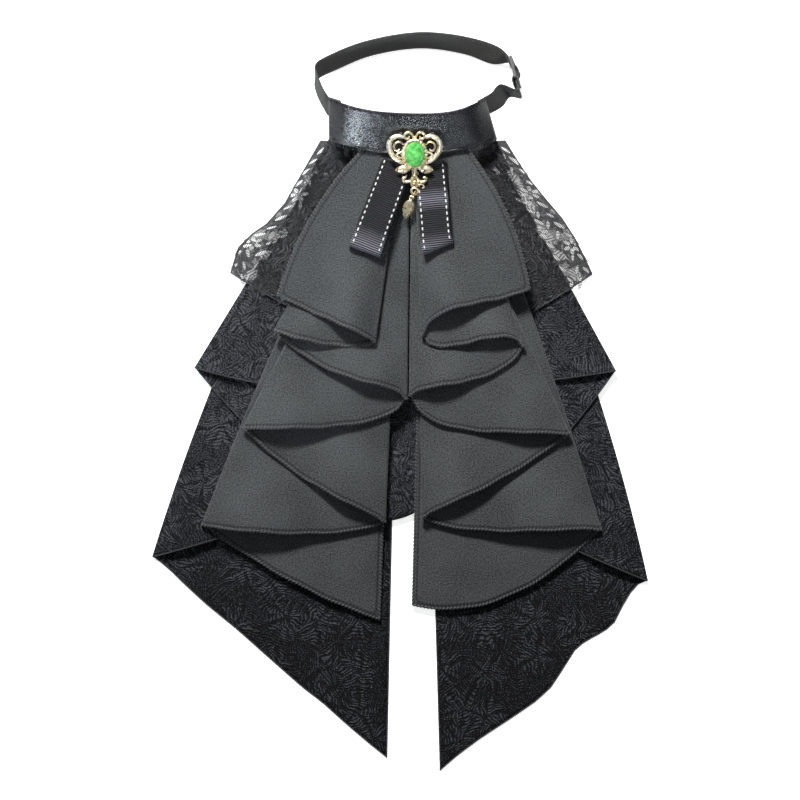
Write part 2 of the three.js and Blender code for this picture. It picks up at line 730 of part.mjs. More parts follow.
// A leaf drop with its eye at the origin, hanging towards -Y.
function pendantLeaf() {
  const leaf = new THREE.Shape();
  const top = -0.7 * eyeRadius;
  const shoulder = top - 0.12 * pendantLength;
  const belly = -0.6 * pendantLength;
  const wide = 0.72 * pendantWidth;
  leaf.moveTo(0, top);
  leaf.bezierCurveTo(wide, shoulder, wide, belly, 0, -pendantLength);
  leaf.bezierCurveTo(-wide, belly, -wide, shoulder, 0, top);
  const body = new THREE.ExtrudeGeometry(leaf, {
    depth: pendantThickness - 2 * pendantBevel,
    curveSegments: 6,
    bevelThickness: pendantBevel,
    bevelSize: pendantBevel,
    bevelOffset: -pendantBevel,
    bevelSegments: 1,
  });
  body.translate(0, 0, pendantBevel - pendantThickness / 2);
  const shape = ellipseShape(2 * eyeRadius, 2 * eyeRadius);
  shape.holes.push(ellipseShape(eyeRadius, eyeRadius));
  const depth = eyeThickness;
  const eye = new THREE.ExtrudeGeometry(shape, { depth, bevelEnabled: false, curveSegments: 4 });
  eye.translate(0, 0, -eyeThickness / 2);
  return toGeometry(fuse([body, eye]));
}

// Assembly
const group = new THREE.Group();

function add(name, geometry, color, roughness, metalness = 0, parent = group) {
  const material = new THREE.MeshStandardMaterial({ color, roughness, metalness });
  const mesh = new THREE.Mesh(geometry, material);
  mesh.name = name;
  parent.add(mesh);
  return mesh;
}

const sides = [
  { name: 'left', side: -1, chiffon: chiffonLeft, lace: laceLeft, yoke: yokeLeft },
  { name: 'right', side: 1, chiffon: chiffonRight, lace: laceRight, yoke: yokeRight },
];

for (const { name, side, chiffon, lace, yoke } of sides) {
  add(`lace_cascade_${name}`, foldedSheet(lacePatches(lace, side), laceSteps), '#15171a', 0.9);
  add(`lace_yoke_${name}`, laceYoke(yokePatches(yoke, lace, side)), '#1a1b1f', 0.9);
  add(`chiffon_${name}`, foldedSheet(chiffonPatches(chiffon, side), chiffonSteps), '#343838', 0.85);
}
add('lace_centre', foldedSheet(middlePatches(laceMiddle), middleSteps), '#15171a', 0.9);

for (const ribbon of ribbons) {
  add(`ribbon_${ribbon.name}`, foldedSheet(ribbonPatches(ribbon), ribbonSteps), '#121315', 0.7);
}
add('collar_band', collarBand(), '#1d1f22', 0.35);
add('neck_strap', neckStrap(), '#26282a', 0.9);
add('strap_end', strapEnd(), '#26282a', 0.9);
add('strap_slider', sliderPlate(), '#0d0d0e', 0.3);

const brooch = new THREE.Group();
brooch.position.set(broochX, broochY, broochHeight());
brooch.rotation.x = broochLean;
group.add(brooch);
add('brooch_frame', toGeometry(broochFrame()), '#c9b27a', 0.3, 1, brooch);
add('brooch_stone', broochStone(), '#0f9a2c', 0.08, 0, brooch);

const hang = new THREE.Vector3(0, -ringRadius, 0).applyAxisAngle(new THREE.Vector3(0, 0, 1), ringTurn);
const stemMiddle = new THREE.Vector3(ringShift, stemRing.y * stoneLength, stemThickness / 2);
const ringMiddle = stemMiddle.add(hang);
const ring = add('brooch_jump_ring', jumpRing(), '#c9b27a', 0.3, 1, brooch);
ring.position.copy(ringMiddle);
ring.rotation.z = ringTurn;

const pendant = add('brooch_pendant', pendantLeaf(), '#c9b27a', 0.3, 1, brooch);
pendant.position.copy(ringMiddle).add(hang);
pendant.rotation.set(pendantTilt, 0, pendantTurn);

group.updateMatrixWorld(true);
const box = new THREE.Box3().setFromObject(group);
const middle = box.getCenter(new THREE.Vector3());
group.position.set(-middle.x, -middle.y, -box.min.z);

export default group;
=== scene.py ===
import math
import random

import bpy
import numpy as np
from mathutils import Matrix, Vector


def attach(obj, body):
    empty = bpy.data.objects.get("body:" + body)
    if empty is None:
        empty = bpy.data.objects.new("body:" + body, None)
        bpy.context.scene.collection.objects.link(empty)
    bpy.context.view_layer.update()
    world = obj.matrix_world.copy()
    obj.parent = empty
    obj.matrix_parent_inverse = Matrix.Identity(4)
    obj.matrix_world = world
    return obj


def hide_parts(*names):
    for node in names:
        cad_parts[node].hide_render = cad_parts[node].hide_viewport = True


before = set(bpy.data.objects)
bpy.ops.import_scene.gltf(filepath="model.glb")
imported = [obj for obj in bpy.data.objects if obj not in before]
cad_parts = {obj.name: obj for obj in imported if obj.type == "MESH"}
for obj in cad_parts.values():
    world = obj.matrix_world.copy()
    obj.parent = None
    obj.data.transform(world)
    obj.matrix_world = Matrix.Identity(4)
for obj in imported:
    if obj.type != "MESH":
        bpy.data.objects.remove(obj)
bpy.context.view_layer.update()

# A jabot lying face up, dressed round its CAD frame. Shapes are worked out in millimetres from
# the middle of the collar's lower seam, as in the part's source, and moved to the row frame.
MM = 0.001
ORIGIN = np.array([7.402, 141.540, 0.0])
random.seed(7)

# Sizes shared with the part's source: cloth layers, collar, gaps and the reach of the fold lines
LAYER = 1.4
LAYER_FOOT = 0.5
COLLAR_HALF = 48.0
COLLAR_TOP_REACH, COLLAR_TOP_RISE = 21.5, 9.5
COLLAR_STAND, COLLAR_STAND_LOSS = 13.7, 2.7
COLLAR_LEVEL_SHARE = 0.64
COLLAR_THICK = 2.0
CLEARANCE = 0.3
SEAM_TUCK = 4.0
CHIFFON_SPREAD, CHIFFON_DROP, CHIFFON_OPENING = 120.0, 267.0, 2.2
LACE_SPREAD, LACE_DROP = 148.0, 350.0
CHIFFON_CLOTH = 0.5
LACE_CLOTH = 0.4
LACE_LEVELS, PILE_FROM, PILE_FALL = 5, 0.297, 0.143

# Rows of a folded sheet, columns of each of its panels and steps round each fold
CHIFFON_GRID = (90, 24, 7)
LACE_GRID = (100, 26, 6)
LEAF_GRID = (140, 84, 1)
CENTRE_GRID = (90, 10, 1)
RIBBON_GRID = (16, 60, 9)
PANEL_SHIFT = (83, 31)
HEM_POWER = 4

# Fold lines: top along the collar seam, hem across, hem down, hem bow, bulge, all as shares.
CHIFFON_TABLE = {
    -1: [
        (-0.524, -0.643, 0.304, 0, 0.057), (-0.107, -0.176, 0.404, 0.002, 0),
        (-0.417, -0.662, 0.379, 0.012, 0), (-0.036, -0.026, 0.526, 0.019, 0),
        (-0.321, -0.81, 0.586, 0.013, 0), (-0.131, -0.129, 0.788, 0.021, 0),
        (-0.524, -1.01, 0.794, 0.015, 0.024), (-0.202, -0.157, 0.999, 0.011, 0),
    ],
    1: [
        (0.583, 0.557, 0.291, 0, 0.052), (0.012, 0.037, 0.39, 0.004, 0),
        (0.464, 0.529, 0.413, 0.011, 0), (-0.02, -0.02, 0.518, 0.017, 0),
        (0.298, 0.748, 0.599, 0.013, 0), (0.06, 0.038, 0.779, 0.017, 0),
        (0.631, 0.9, 0.805, 0.013, 0.024), (0.131, -0.005, 0.967, 0.021, 0),
    ],
}
LACE_TABLE = {
    -1: [
        (-0.25, -0.263, 0.395, 0, 0), (-0.917, -0.846, 0.349, 0.006, 0),
        (-0.298, -0.301, 0.565, 0.016, 0), (-0.976, -1.01, 0.658, 0.004, 0.046),
        (-0.155, -0.1, 0.988, 0, 0),
    ],
    1: [
        (0.202, 0.22, 0.385, 0, 0), (0.893, 0.786, 0.354, 0.002, 0),
        (0.25, 0.297, 0.581, 0.016, 0), (0.964, 0.91, 0.697, 0.004, 0.054),
        (0.107, 0.104, 1.009, 0.01, 0),
    ],
}
YOKE_TABLE = {
    -1: [(-1.1, -0.707, 0.194, 0, 0), (-0.417, -0.301, 0.287, 0.004, 0)],
    1: [(1.1, 0.695, 0.196, 0, 0), (0.417, 0.297, 0.296, 0.004, 0)],
}
CENTRE_TABLE = [(-0.13, -0.112, 0.6, 0, 0), (0.09, 0.026, 0.582, 0.004, 0)]
SIDE_NAMES = {-1: "left", 1: "right"}


# Cloth layers
def smooth_step(x, low, high):
    t = np.clip((x - low) / (high - low), 0, 1)
    return t * t * (3 - 2 * t)


def seam_y(x):
    return 8.0 * (x / COLLAR_HALF) ** 2


def fold_lines(table, spread, drop, side):
    lines = []
    for top, hem_x, hem_y, bow, bulge in table:
        top_x = top * COLLAR_HALF
        inside = min(max(top_x, -COLLAR_HALF), COLLAR_HALF)
        tuck = 0 if abs(top_x) > COLLAR_HALF else SEAM_TUCK
        start = np.array([top_x, seam_y(inside) + tuck])
        end = np.array([hem_x * spread, -hem_y * drop])
        lines.append((start, end, bulge * spread * side))
    return lines


def line_normal(line):
    along = unit(line[1] - line[0])
    return np.array([-along[1], along[0]])


def on_line(line, v):
    v = np.asarray(v, float)[..., None]
    return line[0] + (line[1] - line[0]) * v + line_normal(line) * line[2] * 4 * v * (1 - v)


def line_x_at(line, y):
    v = np.clip((line[0][1] - y) / (line[0][1] - line[1][1]), 0, 1)
    return on_line(line, v)[..., 0]


def lace_height(level):
    return LAYER_FOOT + level * LAYER


def lace_pile_height(y):
    return lace_height(LACE_LEVELS - np.maximum(0, -y / LACE_DROP - PILE_FROM) / PILE_FALL)


def chiffon_height(level, y):
    down = np.maximum(0, -y / CHIFFON_DROP)
    return lace_pile_height(y) + level * (LAYER + CHIFFON_OPENING * down)


def panels_from(table, spread, drop, side, heights):
    lines = fold_lines(table, spread, drop, side)
    return [
        {"from": lines[i], "to": lines[i + 1], "height": height, "bow": table[i + 1][3] * drop}
        for i, height in enumerate(heights)
    ]


def folded_grid(panels, rows, columns, bend_steps, half, ripple=None, hem=None):
    """A sheet folded to and fro as a grid of points, with a round bend at each fold line.

    ripple adds height and hem moves the lower edge down, each by panel and share across it."""
    v = np.linspace(0, 1, rows + 1)
    bends = []
    for before, after in zip(panels, panels[1:]):
        outline = on_line(after["from"], v)
        out = np.tile(line_normal(after["from"]), (rows + 1, 1))
        away = ((outline - on_line(before["from"], v)) * out).sum(1)
        out[away < 0] *= -1
        gap = before["height"](*outline.T) - after["height"](*outline.T)
        bends.append((out, outline - out * (gap / 2 + half)[:, None]))
    strips = []
    for i, panel in enumerate(panels):
        start = on_line(panel["from"], v) if i == 0 else bends[i - 1][1]
        stop = on_line(panel["to"], v) if i == len(panels) - 1 else bends[i][1]
        for s in np.linspace(0, 1, columns + 1):
            flat = start + (stop - start) * s
            drop = hem(i, s) if hem else panel["bow"] * 4 * s * (1 - s)
            flat[:, 1] -= drop * v ** HEM_POWER
            z = panel["height"](*flat.T)
            if ripple:
                z = z + ripple(i, s, v)
            strips.append(np.column_stack([flat, z]))
        if i == len(panels) - 1:
            break
        out, middle = bends[i]
        upper, lower = panel["height"](*middle.T), panels[i + 1]["height"](*middle.T)
        for b in range(1, bend_steps):
            angle = math.pi * (0.5 - b / bend_steps)
            radius = (upper - lower) / 2
            side = middle + out * (radius * math.cos(angle))[:, None]
            strips.append(np.column_stack([side, (upper + lower) / 2 + radius * math.sin(angle)]))
    return np.stack(strips, axis=1)


def panel_coordinates(grid, columns, bend_steps):
    """Texture coordinates in mm, moved on and turned over from each panel to the next."""
    panel = (np.arange(grid.shape[1]) + bend_steps // 2) // (columns + bend_steps)
    across = grid[..., 0] * (1 - 2 * (panel % 2)) + PANEL_SHIFT[0] * panel
    return np.stack([across, grid[..., 1] + PANEL_SHIFT[1] * panel], axis=2)


def edge_coordinates(grid):
    """Place along the free edge and distance from it, in mm."""
    uv = arc_lengths(grid)
    below = uv[-1:, :, 1] - uv[..., 1]
    left, right = uv[..., 0], uv[:, -1:, 0] - uv[..., 0]
    aside = np.minimum(left, right)
    along = np.where(below < aside, uv[-1:, :, 0], uv[..., 1])
    return np.stack([along, np.minimum(below, aside)], axis=2)


# Meshes
def unit(rows):
    return rows / np.linalg.norm(rows, axis=-1, keepdims=True)


def spans(points, axis=0):
    """The distance from each point to the next along one axis of a path or grid."""
    return np.linalg.norm(np.diff(points, axis=axis), axis=-1)


def distances(path):
    """How far along the path each of its points lies."""
    return np.concatenate([[0], np.cumsum(spans(path))])


def around(count):
    return np.linspace(0, 2 * math.pi, count, endpoint=False)


def to_row(points):
    return (np.asarray(points, float).reshape(-1, 3) + ORIGIN) * MM


def add_coordinates(mesh, name, uvs):
    layer = mesh.uv_layers.new(name=name)
    loops = np.zeros(len(mesh.loops), int)
    mesh.loops.foreach_get("vertex_index", loops)
    layer.data.foreach_set("uv", np.asarray(uvs, float).reshape(-1, 2)[loops].ravel())


def mesh_object(name, points, faces, uvs=None, smooth=True, material=None):
    mesh = bpy.data.meshes.new(name)
    mesh.from_pydata(to_row(points).tolist(), [], faces)
    if uvs is not None:
        add_coordinates(mesh, "cloth", uvs)
    mesh.polygons.foreach_set("use_smooth", [smooth] * len(mesh.polygons))
    piece = bpy.data.objects.new(name, mesh)
    bpy.context.scene.collection.objects.link(piece)
    if material:
        mesh.materials.append(material)
    return piece


def arc_lengths(grid):
    """Distances along the rows and down the columns, in mm, as texture coordinates."""
    u, v = np.zeros((2, *grid.shape[:2]))
    u[:, 1:] = np.cumsum(spans(grid, 1), axis=1)
    v[1:] = np.cumsum(spans(grid), axis=0)
    return np.stack([u, v], axis=2)


def grid_faces(rows, columns, wrap=False):
    width = columns if wrap else columns - 1
    return [
        (r * columns + c, (r + 1) * columns + c,
         (r + 1) * columns + (c + 1) % columns, r * columns + (c + 1) % columns)
        for r in range(rows - 1)
        for c in range(width)
    ]


def end_faces(count, sides):
    """The two faces that close a body of count rings."""
    return [tuple(range(sides)), tuple(range((count - 1) * sides, count * sides))[::-1]]


def cloth_object(name, grid, thickness, material, uvs=None):
    uvs = arc_lengths(grid) if uvs is None else uvs
    piece = mesh_object(name, grid, grid_faces(*grid.shape[:2]), uvs, material=material)
    return thicken(piece, thickness)


def thicken(piece, thickness):
    solid = piece.modifiers.new("cloth", "SOLIDIFY")
    solid.thickness = thickness * MM
    solid.offset = 0
    return piece


class Parts:
    """Collects small bodies into one mesh."""

    def __init__(self):
        self.points, self.faces = [], []

    def add(self, points, faces):
        base = len(self.points)
        self.points.extend(np.asarray(points, float).reshape(-1, 3).tolist())
        self.faces.extend(tuple(base + i for i in face) for face in faces)

    def tube(self, path, radius, sides=8, squash=1.0, closed=False, up=(0, 0, 1)):
        """A round or flattened bar along path. radius: one size or one for each point."""
        path = np.asarray(path, float)
        radius = np.broadcast_to(np.asarray(radius, float), len(path))
        if closed:
            ahead = np.roll(path, -1, axis=0) - np.roll(path, 1, axis=0)
        else:
            ahead = np.gradient(path, axis=0)
        ahead = unit(ahead)
        side = unit(np.cross(ahead, up))
        lift = np.cross(side, ahead)
        angle = around(sides)
        ring = path[:, None] + radius[:, None, None] * (
            side[:, None] * np.cos(angle)[None, :, None]
            + lift[:, None] * np.sin(angle)[None, :, None] * squash
        )
        count = len(path)
        faces = grid_faces(count, sides, wrap=True)
        if closed:
            last = (count - 1) * sides
            faces += [(last + c, c, (c + 1) % sides, last + (c + 1) % sides) for c in range(sides)]
        else:
            faces += end_faces(count, sides)
        self.add(ring, faces)

    def rings(self, rings):
        """A closed body lofted through rings of equally many points."""
        sides = len(rings[0])
        faces = grid_faces(len(rings), sides, wrap=True) + end_faces(len(rings), sides)
        self.add(np.concatenate(rings), faces)

    def move(self, matrix):
        self.points = [list(matrix @ Vector(p)) for p in self.points]
        return self

    def object(self, name, material, smooth=True):
        return mesh_object(name, self.points, self.faces, smooth=smooth, material=material)


def curve_points(points, steps=8, closed=False):
    """Points on a smooth curve through the given ones, centripetal as in the part's source."""
    points = np.asarray(points, float)
    if closed:
        padded = np.vstack([points[-1], points, points[0], points[1]])
    else:
        padded = np.vstack([2 * points[0] - points[1], points, 2 * points[-1] - points[-2]])
    found = []
    for i in range(len(padded) - 3):
        p = padded[i:i + 4]
        gaps = np.maximum(spans(p), 1e-6) ** 0.5
        m1 = (p[1] - p[0]) / gaps[0] - (p[2] - p[0]) / (gaps[0] + gaps[1]) + (p[2] - p[1]) / gaps[1]
        m2 = (p[2] - p[1]) / gaps[1] - (p[3] - p[1]) / (gaps[1] + gaps[2]) + (p[3] - p[2]) / gaps[2]
        m1, m2 = m1 * gaps[1], m2 * gaps[1]
        for t in np.arange(steps) / steps:
            c2 = 3 * (p[2] - p[1]) - 2 * m1 - m2
            c3 = 2 * (p[1] - p[2]) + m1 + m2
            found.append(p[1] + m1 * t + c2 * t ** 2 + c3 * t ** 3)
    if not closed:
        found.append(points[-1])
    return np.array(found)


def resample(path, step):
    length = distances(path)
    at = np.linspace(0, length[-1], max(2, int(length[-1] / step)))
    return at, np.column_stack([np.interp(at, length, path[:, k]) for k in range(path.shape[1])])


# Materials: the cloth's own coordinates are in mm, the object's in metres. A wave texture's
# bands are WAVE_PERIOD apart at scale 1.
WAVE_PERIOD = 0.314
FULL_TURN = 6.28
STITCH_RATE, STITCH_INSET, STITCH_HALF = 2.9, 2.5, (0.35, 0.75)
STITCH_BLACK = (0.004, 0.004, 0.005, 1)
TAIL_DARKENS = (170, 300)
# How many times lighter the painted highlight makes a ribbon's cords in its sheen bands.
PAINTED_SHEEN_GAIN = 11


class Nodes:
    """A material's nodes with short calls. An input takes a value or another node's output."""

    def __init__(self, name):
        self.material = bpy.data.materials.new(name)
        self.material.use_nodes = True
        self.tree = self.material.node_tree
        self.shader = self.tree.nodes["Principled BSDF"]

    def put(self, socket, value):
        if isinstance(value, bpy.types.NodeSocket):
            self.tree.links.new(value, socket)
        else:
            socket.default_value = value

    def make(self, kind, inputs=(), **settings):
        """A node with its settings, and its inputs by name or in their order."""
        node = self.tree.nodes.new("ShaderNode" + kind)
        for key, value in settings.items():
            setattr(node, key, value)
        for key, value in inputs.items() if isinstance(inputs, dict) else enumerate(inputs):
            self.put(node.inputs[key], value)
        return node

    def uv(self, layer="cloth"):
        return self.make("UVMap", uv_map=layer).outputs["UV"]

    def place(self):
        return self.make("TexCoord").outputs["Object"]

    def mapped(self, vector, scale, turn=0.0):
        inputs = {"Vector": vector, "Scale": scale, "Rotation": (0, 0, turn)}
        return self.make("Mapping", inputs).outputs["Vector"]

    def noise(self, vector, scale, detail=2.0, output="Fac"):
        inputs = {"Vector": vector, "Scale": scale, "Detail": detail}
        return self.make("TexNoise", inputs).outputs[output]

    def wave(self, vector, scale, direction, distortion):
        inputs = {"Vector": vector, "Scale": scale, "Distortion": distortion}
        return self.make("TexWave", inputs, bands_direction=direction).outputs["Fac"]

    def cells(self, vector, scale, randomness=1.0, **settings):
        inputs = {"Vector": vector, "Scale": scale, "Randomness": randomness}
        return self.make("TexVoronoi", inputs, voronoi_dimensions="2D", **settings).outputs

    def split(self, vector):
        return self.make("SeparateXYZ", (vector,)).outputs[:]

    def pick(self, color):
        """One random number from a patch's colour."""
        return self.make("SeparateColor", (color,)).outputs[0]

    def math(self, operation, a, b=0.0, c=0.0):
        return self.make("Math", (a, b, c), operation=operation).outputs[0]

    def times(self, a, b):
        return self.math("MULTIPLY", a, b)

    def vector(self, operation, *inputs, output=0):
        return self.make("VectorMath", inputs, operation=operation).outputs[output]

    def hatch(self, vector, scale, pitch):
        """Stripes every pitch mm, turned another way in each patch."""
        angle = self.times(self.pick(self.cells(vector, scale)["Color"]), FULL_TURN)
        x, y, _ = self.split(vector)
        run = self.times(x, self.math("COSINE", angle))
        run = self.math("MULTIPLY_ADD", y, self.math("SINE", angle), run)
        return self.spread(self.math("SINE", self.times(run, 2 * math.pi / pitch)), -0.6, 0.6)

    def ramp(self, value, low, high, first, last):
        node = self.make("ValToRGB", {"Fac": value})
        for stop, position, color in zip(node.color_ramp.elements, (low, high), (first, last)):
            stop.position = position
            stop.color = (*color, 1)
        return node.outputs["Color"]

    def spread(self, value, low, high, first=0.0, last=1.0):
        return self.make("MapRange", (value, low, high, first, last)).outputs["Result"]

    def blend(self, factor, first, last):
        return self.make("Mix", {0: factor, 6: first, 7: last}, data_type="RGBA").outputs[2]

    def bump(self, height, distance, strength=1.0, normal=None):
        inputs = {"Height": height, "Distance": distance, "Strength": strength}
        if normal:
            inputs["Normal"] = normal
        return self.make("Bump", inputs).outputs["Normal"]

    def finish(self, color=None, roughness=None, normal=None, **uniform):
        for name, value in (("Base Color", color), ("Roughness", roughness), ("Normal", normal)):
            if value is not None:
                self.put(self.shader.inputs[name], value)
        for name, value in uniform.items():
            self.shader.inputs[name.replace("_", " ")].default_value = value
        return self.material


def woven_material(name, dark, light, pitch):
    """Plain woven cloth, heathered, with a row of stitches in the turned edge."""
    n = Nodes(name)
    cloth = n.uv()
    weave = n.times(*(n.wave(cloth, WAVE_PERIOD / pitch, way, 0.5) for way in "XY"))
    speck = n.noise(cloth, 1.25, 4)
    tone = n.math("MULTIPLY_ADD", speck, 0.8, n.times(weave, 0.12))
    tone = n.math("MULTIPLY_ADD", n.noise(cloth, 0.03, 2), 0.2, tone)
    color = n.ramp(tone, 0.36, 0.74, dark, light)
    along, inward, _ = n.split(n.uv("edge"))
    dash = n.spread(n.math("SINE", n.times(along, STITCH_RATE)), -0.3, 0.3, 0.45)
    away = n.math("ABSOLUTE", n.math("SUBTRACT", inward, STITCH_INSET))
    row = n.spread(away, *STITCH_HALF, 1.0, 0.0)
    color = n.blend(n.times(n.times(dash, row), 0.85), color, STITCH_BLACK)
    normal = n.bump(speck, 0.0001, 0.6, n.bump(weave, 0.00008, 0.6))
    return n.finish(color, n.spread(speck, 0.3, 0.7, 0.85, 0.73), normal,
                    Sheen_Weight=0.15, Sheen_Roughness=0.5, Specular_IOR_Level=0.3)


def flower_mask(n, vector, scale, petals, reach):
    """1 on the petals of flowers scattered at one scale, 0 between them."""
    patch = n.cells(vector, scale, 0.55)
    scaled, place = (n.mapped(v, (scale, scale, 1)) for v in (vector, patch["Position"]))
    x, y, _ = n.split(n.vector("SUBTRACT", scaled, place))
    turned = n.math("ADD", n.times(n.math("ARCTAN2", y, x), petals / 2),
                    n.times(n.pick(patch["Color"]), FULL_TURN))
    lobe = n.math("ABSOLUTE", n.math("COSINE", turned))
    size = n.math("MULTIPLY_ADD", lobe, reach * 0.55, reach * 0.45)
    mask = n.spread(n.math("SUBTRACT", size, patch["Distance"]), 0.0, 0.05)
    core = n.spread(patch["Distance"], 0.05, 0.08)
    return n.times(n.times(mask, core), n.spread(lobe, 0.9, 0.97, 1.0, 0.4))


# Patches of open net in the lace at the outer edges, left side: middle, half length, half width
# and angle, in mm and degrees.
OPEN_PATCHES = [
    (-63.4, -26.3, 11, 4, 46), (-75.4, -46.3, 8, 3, 44), (-84, -57.5, 5, 2.2, 30),
    (-48.5, -9.5, 4, 1.8, 40), (-58.3, -14.3, 8, 2.6, 50), (-92.5, -69, 5, 3, 35),
]


def open_net(n):
    """1 in the patches of open net, 0 elsewhere, with a broken edge."""
    place = n.place()
    ragged = n.times(n.noise(place, 700, 2), 0.9)
    mask = 0.0
    for x, y, length, width, angle in OPEN_PATCHES:
        for side in (-1, 1):
            inputs = {
                "Vector": place, "Rotation": (0, 0, -side * math.radians(angle)),
                "Location": ((ORIGIN[0] - side * x) * MM, (ORIGIN[1] + y) * MM, 0),
                "Scale": (length * MM, width * MM, 1),
            }
            local = n.make("Mapping", inputs, vector_type="TEXTURE").outputs["Vector"]
            reach = n.math("ADD", n.vector("LENGTH", local, output="Value"), ragged)
            mask = n.math("MAXIMUM", mask, n.spread(reach, 1.25, 1.5, 1.0, 0.0))
    return mask


def lace_material(name, dark, light, sheer=0.0, tail=0.0):
    """Lace: hatched flowers and small leaves on a fine net, see-through where sheer, and darker
    by tail towards its lower end."""
    n = Nodes(name)
    cloth = n.uv()
    wobble = n.noise(cloth, 0.07, output="Color")
    shift = n.make("VectorMath", {0: wobble, "Scale": 11.0}, operation="SCALE").outputs[0]
    vector = n.vector("ADD", cloth, shift)
    flowers = flower_mask(n, vector, 0.04, 5, 0.56)
    sprigs = flower_mask(n, n.mapped(vector, (1, 0.7, 1), 0.7), 0.085, 4, 0.5)
    motif = n.math("MAXIMUM", flowers, n.times(sprigs, 0.85))
    net = n.cells(cloth, 0.75, 0.35, feature="DISTANCE_TO_EDGE")
    thread = n.spread(net["Distance"], 0.1, 0.2, 1.0, 0.0)
    hatch = n.hatch(vector, 0.1, 1.7)
    outline = n.times(motif, n.math("SUBTRACT", 1.0, motif))
    speck = n.noise(cloth, 1.25, 3)
    figure = n.times(n.math("MULTIPLY_ADD", motif, 0.6, 0.4), n.times(hatch, 0.2))
    tone = n.math("ADD", n.math("MULTIPLY_ADD", thread, 0.05, speck), figure)
    tone = n.math("SUBTRACT", tone, n.times(outline, 0.5))
    if tail:
        run = n.split(n.uv("edge"))[1]
        tone = n.math("SUBTRACT", tone, n.spread(run, *TAIL_DARKENS, 0.0, tail))
    color = n.ramp(tone, 0.46, 0.84, dark, light)
    normal = n.bump(thread, 0.0002, 0.5)
    normal = n.bump(n.times(motif, hatch), 0.0005, 0.8, normal)
    normal = n.bump(speck, 0.0004, 0.8, normal)
    alpha = 1.0
    if sheer:
        solid = n.math("MAXIMUM", n.spread(motif, 0.3, 0.6), n.times(thread, 0.6))
        solid = n.times(solid, n.spread(hatch, 0.0, 1.0, 0.7))
        alpha = n.spread(solid, 0, 1, 1 - sheer, 0.92)
    if sheer or tail:
        fine, dense = (0.3, 0.65) if sheer else (0.0, 0.22)
        thin = n.spread(n.hatch(cloth, 0.2, 1.6), 0.0, 1.0, fine, dense)
        mask = open_net(n)
        shut = n.times(n.math("SUBTRACT", 1.0, mask), alpha)
        n.put(n.shader.inputs["Alpha"], n.math("MULTIPLY_ADD", mask, thin, shut))
    return n.finish(color, n.spread(motif, 0, 1, 0.9, 0.6), normal, Specular_IOR_Level=0.2)


def grained_material(name, dark, light, roughness):
    """Smooth coated cloth with a fine grain and soft creases."""
    n = Nodes(name)
    place = n.place()
    grain = n.noise(place, 2600, 3)
    crease = n.noise(n.mapped(place, (1, 3, 1)), 45, 2)
    normal = n.bump(grain, 0.00014, 1.0, n.bump(crease, 0.0002, 0.3))
    rough = n.spread(grain, 0.3, 0.7, roughness - 0.06, roughness + 0.08)
    return n.finish(n.ramp(grain, 0.35, 0.7, dark, light), rough, normal,
                    Sheen_Weight=0.05, Specular_IOR_Level=0.6)


def ribbed_material(name, dark, light, pitch, direction, bands=()):
    """Ribbed ribbon or elastic: cords every pitch mm across the given direction, with a painted
    highlight that makes the cords lighter in bands given as middle and half width along it, in mm."""
    n = Nodes(name)
    cloth = n.uv()
    ribs = n.wave(cloth, WAVE_PERIOD / pitch, direction, 0.3)
    other = "Y" if direction == "X" else "X"
    threads = n.wave(cloth, WAVE_PERIOD / (pitch * 0.45), other, 0.4)
    tone = n.math("ADD", n.times(ribs, 0.55), n.times(n.noise(cloth, 1.3, 2), 0.45))
    color = n.ramp(tone, 0.3, 0.85, dark, light)
    # Painted highlight: in the bands the cords are painted many times lighter, standing in for
    # light caught where the loop curves over.
    if bands:
        run = n.split(cloth)[0]
        painted_sheen = 0.0
        for middle, half in bands:
            away = n.math("ABSOLUTE", n.math("SUBTRACT", run, middle))
            painted_sheen = n.math("MAXIMUM", painted_sheen, n.spread(away, 0, half, 1.0, 0.0))
        painted_lit_ribs = n.ramp(ribs, 0.25, 0.8, dark, tuple(PAINTED_SHEEN_GAIN * c for c in light))
        color = n.blend(painted_sheen, color, painted_lit_ribs)
    normal = n.bump(ribs, 0.00035, 0.8, n.bump(threads, 0.00008, 0.5))
    return n.finish(color, n.spread(tone, 0.3, 0.8, 0.75, 0.6), normal,
                    Sheen_Weight=0.03, Specular_IOR_Level=0.25)


def thread_material(name, dark, light, wrapped=False):
    """Spun thread; wrapped paints shade into the gap between one wrap of a serged edge and the
    next.
    """
    n = Nodes(name)
    fibre = n.noise(n.place(), 3200, 3)
    color = n.ramp(fibre, 0.35, 0.7, dark, light)
    if wrapped:
        turn = n.math("SINE", n.times(n.split(n.uv())[0], 2 * math.pi))
        # Painted shade: the dark thread colour is painted into the gaps between the wraps.
        color = n.blend(n.spread(turn, -0.7, 0.3), (*dark, 1), color)
    return n.finish(color, n.spread(fibre, 0.3, 0.7, 0.75, 0.55), n.bump(fibre, 0.0002, 0.6),
                    Sheen_Weight=0.2)


def gold_material(name, dark, light):
    """Gold plate on a casting, worn paler in places."""
    n = Nodes(name)
    cast = n.noise(n.place(), 520, 4)
    color = n.ramp(n.noise(n.place(), 180, 2), 0.4, 0.65, dark, light)
    return n.finish(color, n.spread(cast, 0.3, 0.7, 0.2, 0.42), n.bump(cast, 0.0002, 0.5),
                    Metallic=0.9)


def fine_material(name, grain, detail, ramp, rough, relief=0.0, **uniform):
    """Glass or plastic: one fine noise varies its colour, its gloss and any relief."""
    n = Nodes(name)
    fleck = n.noise(n.place(), grain, detail)
    normal = n.bump(fleck, relief, 0.4) if relief else None
    return n.finish(n.ramp(fleck, *ramp), n.spread(fleck, 0.3, 0.7, *rough), normal, **uniform)


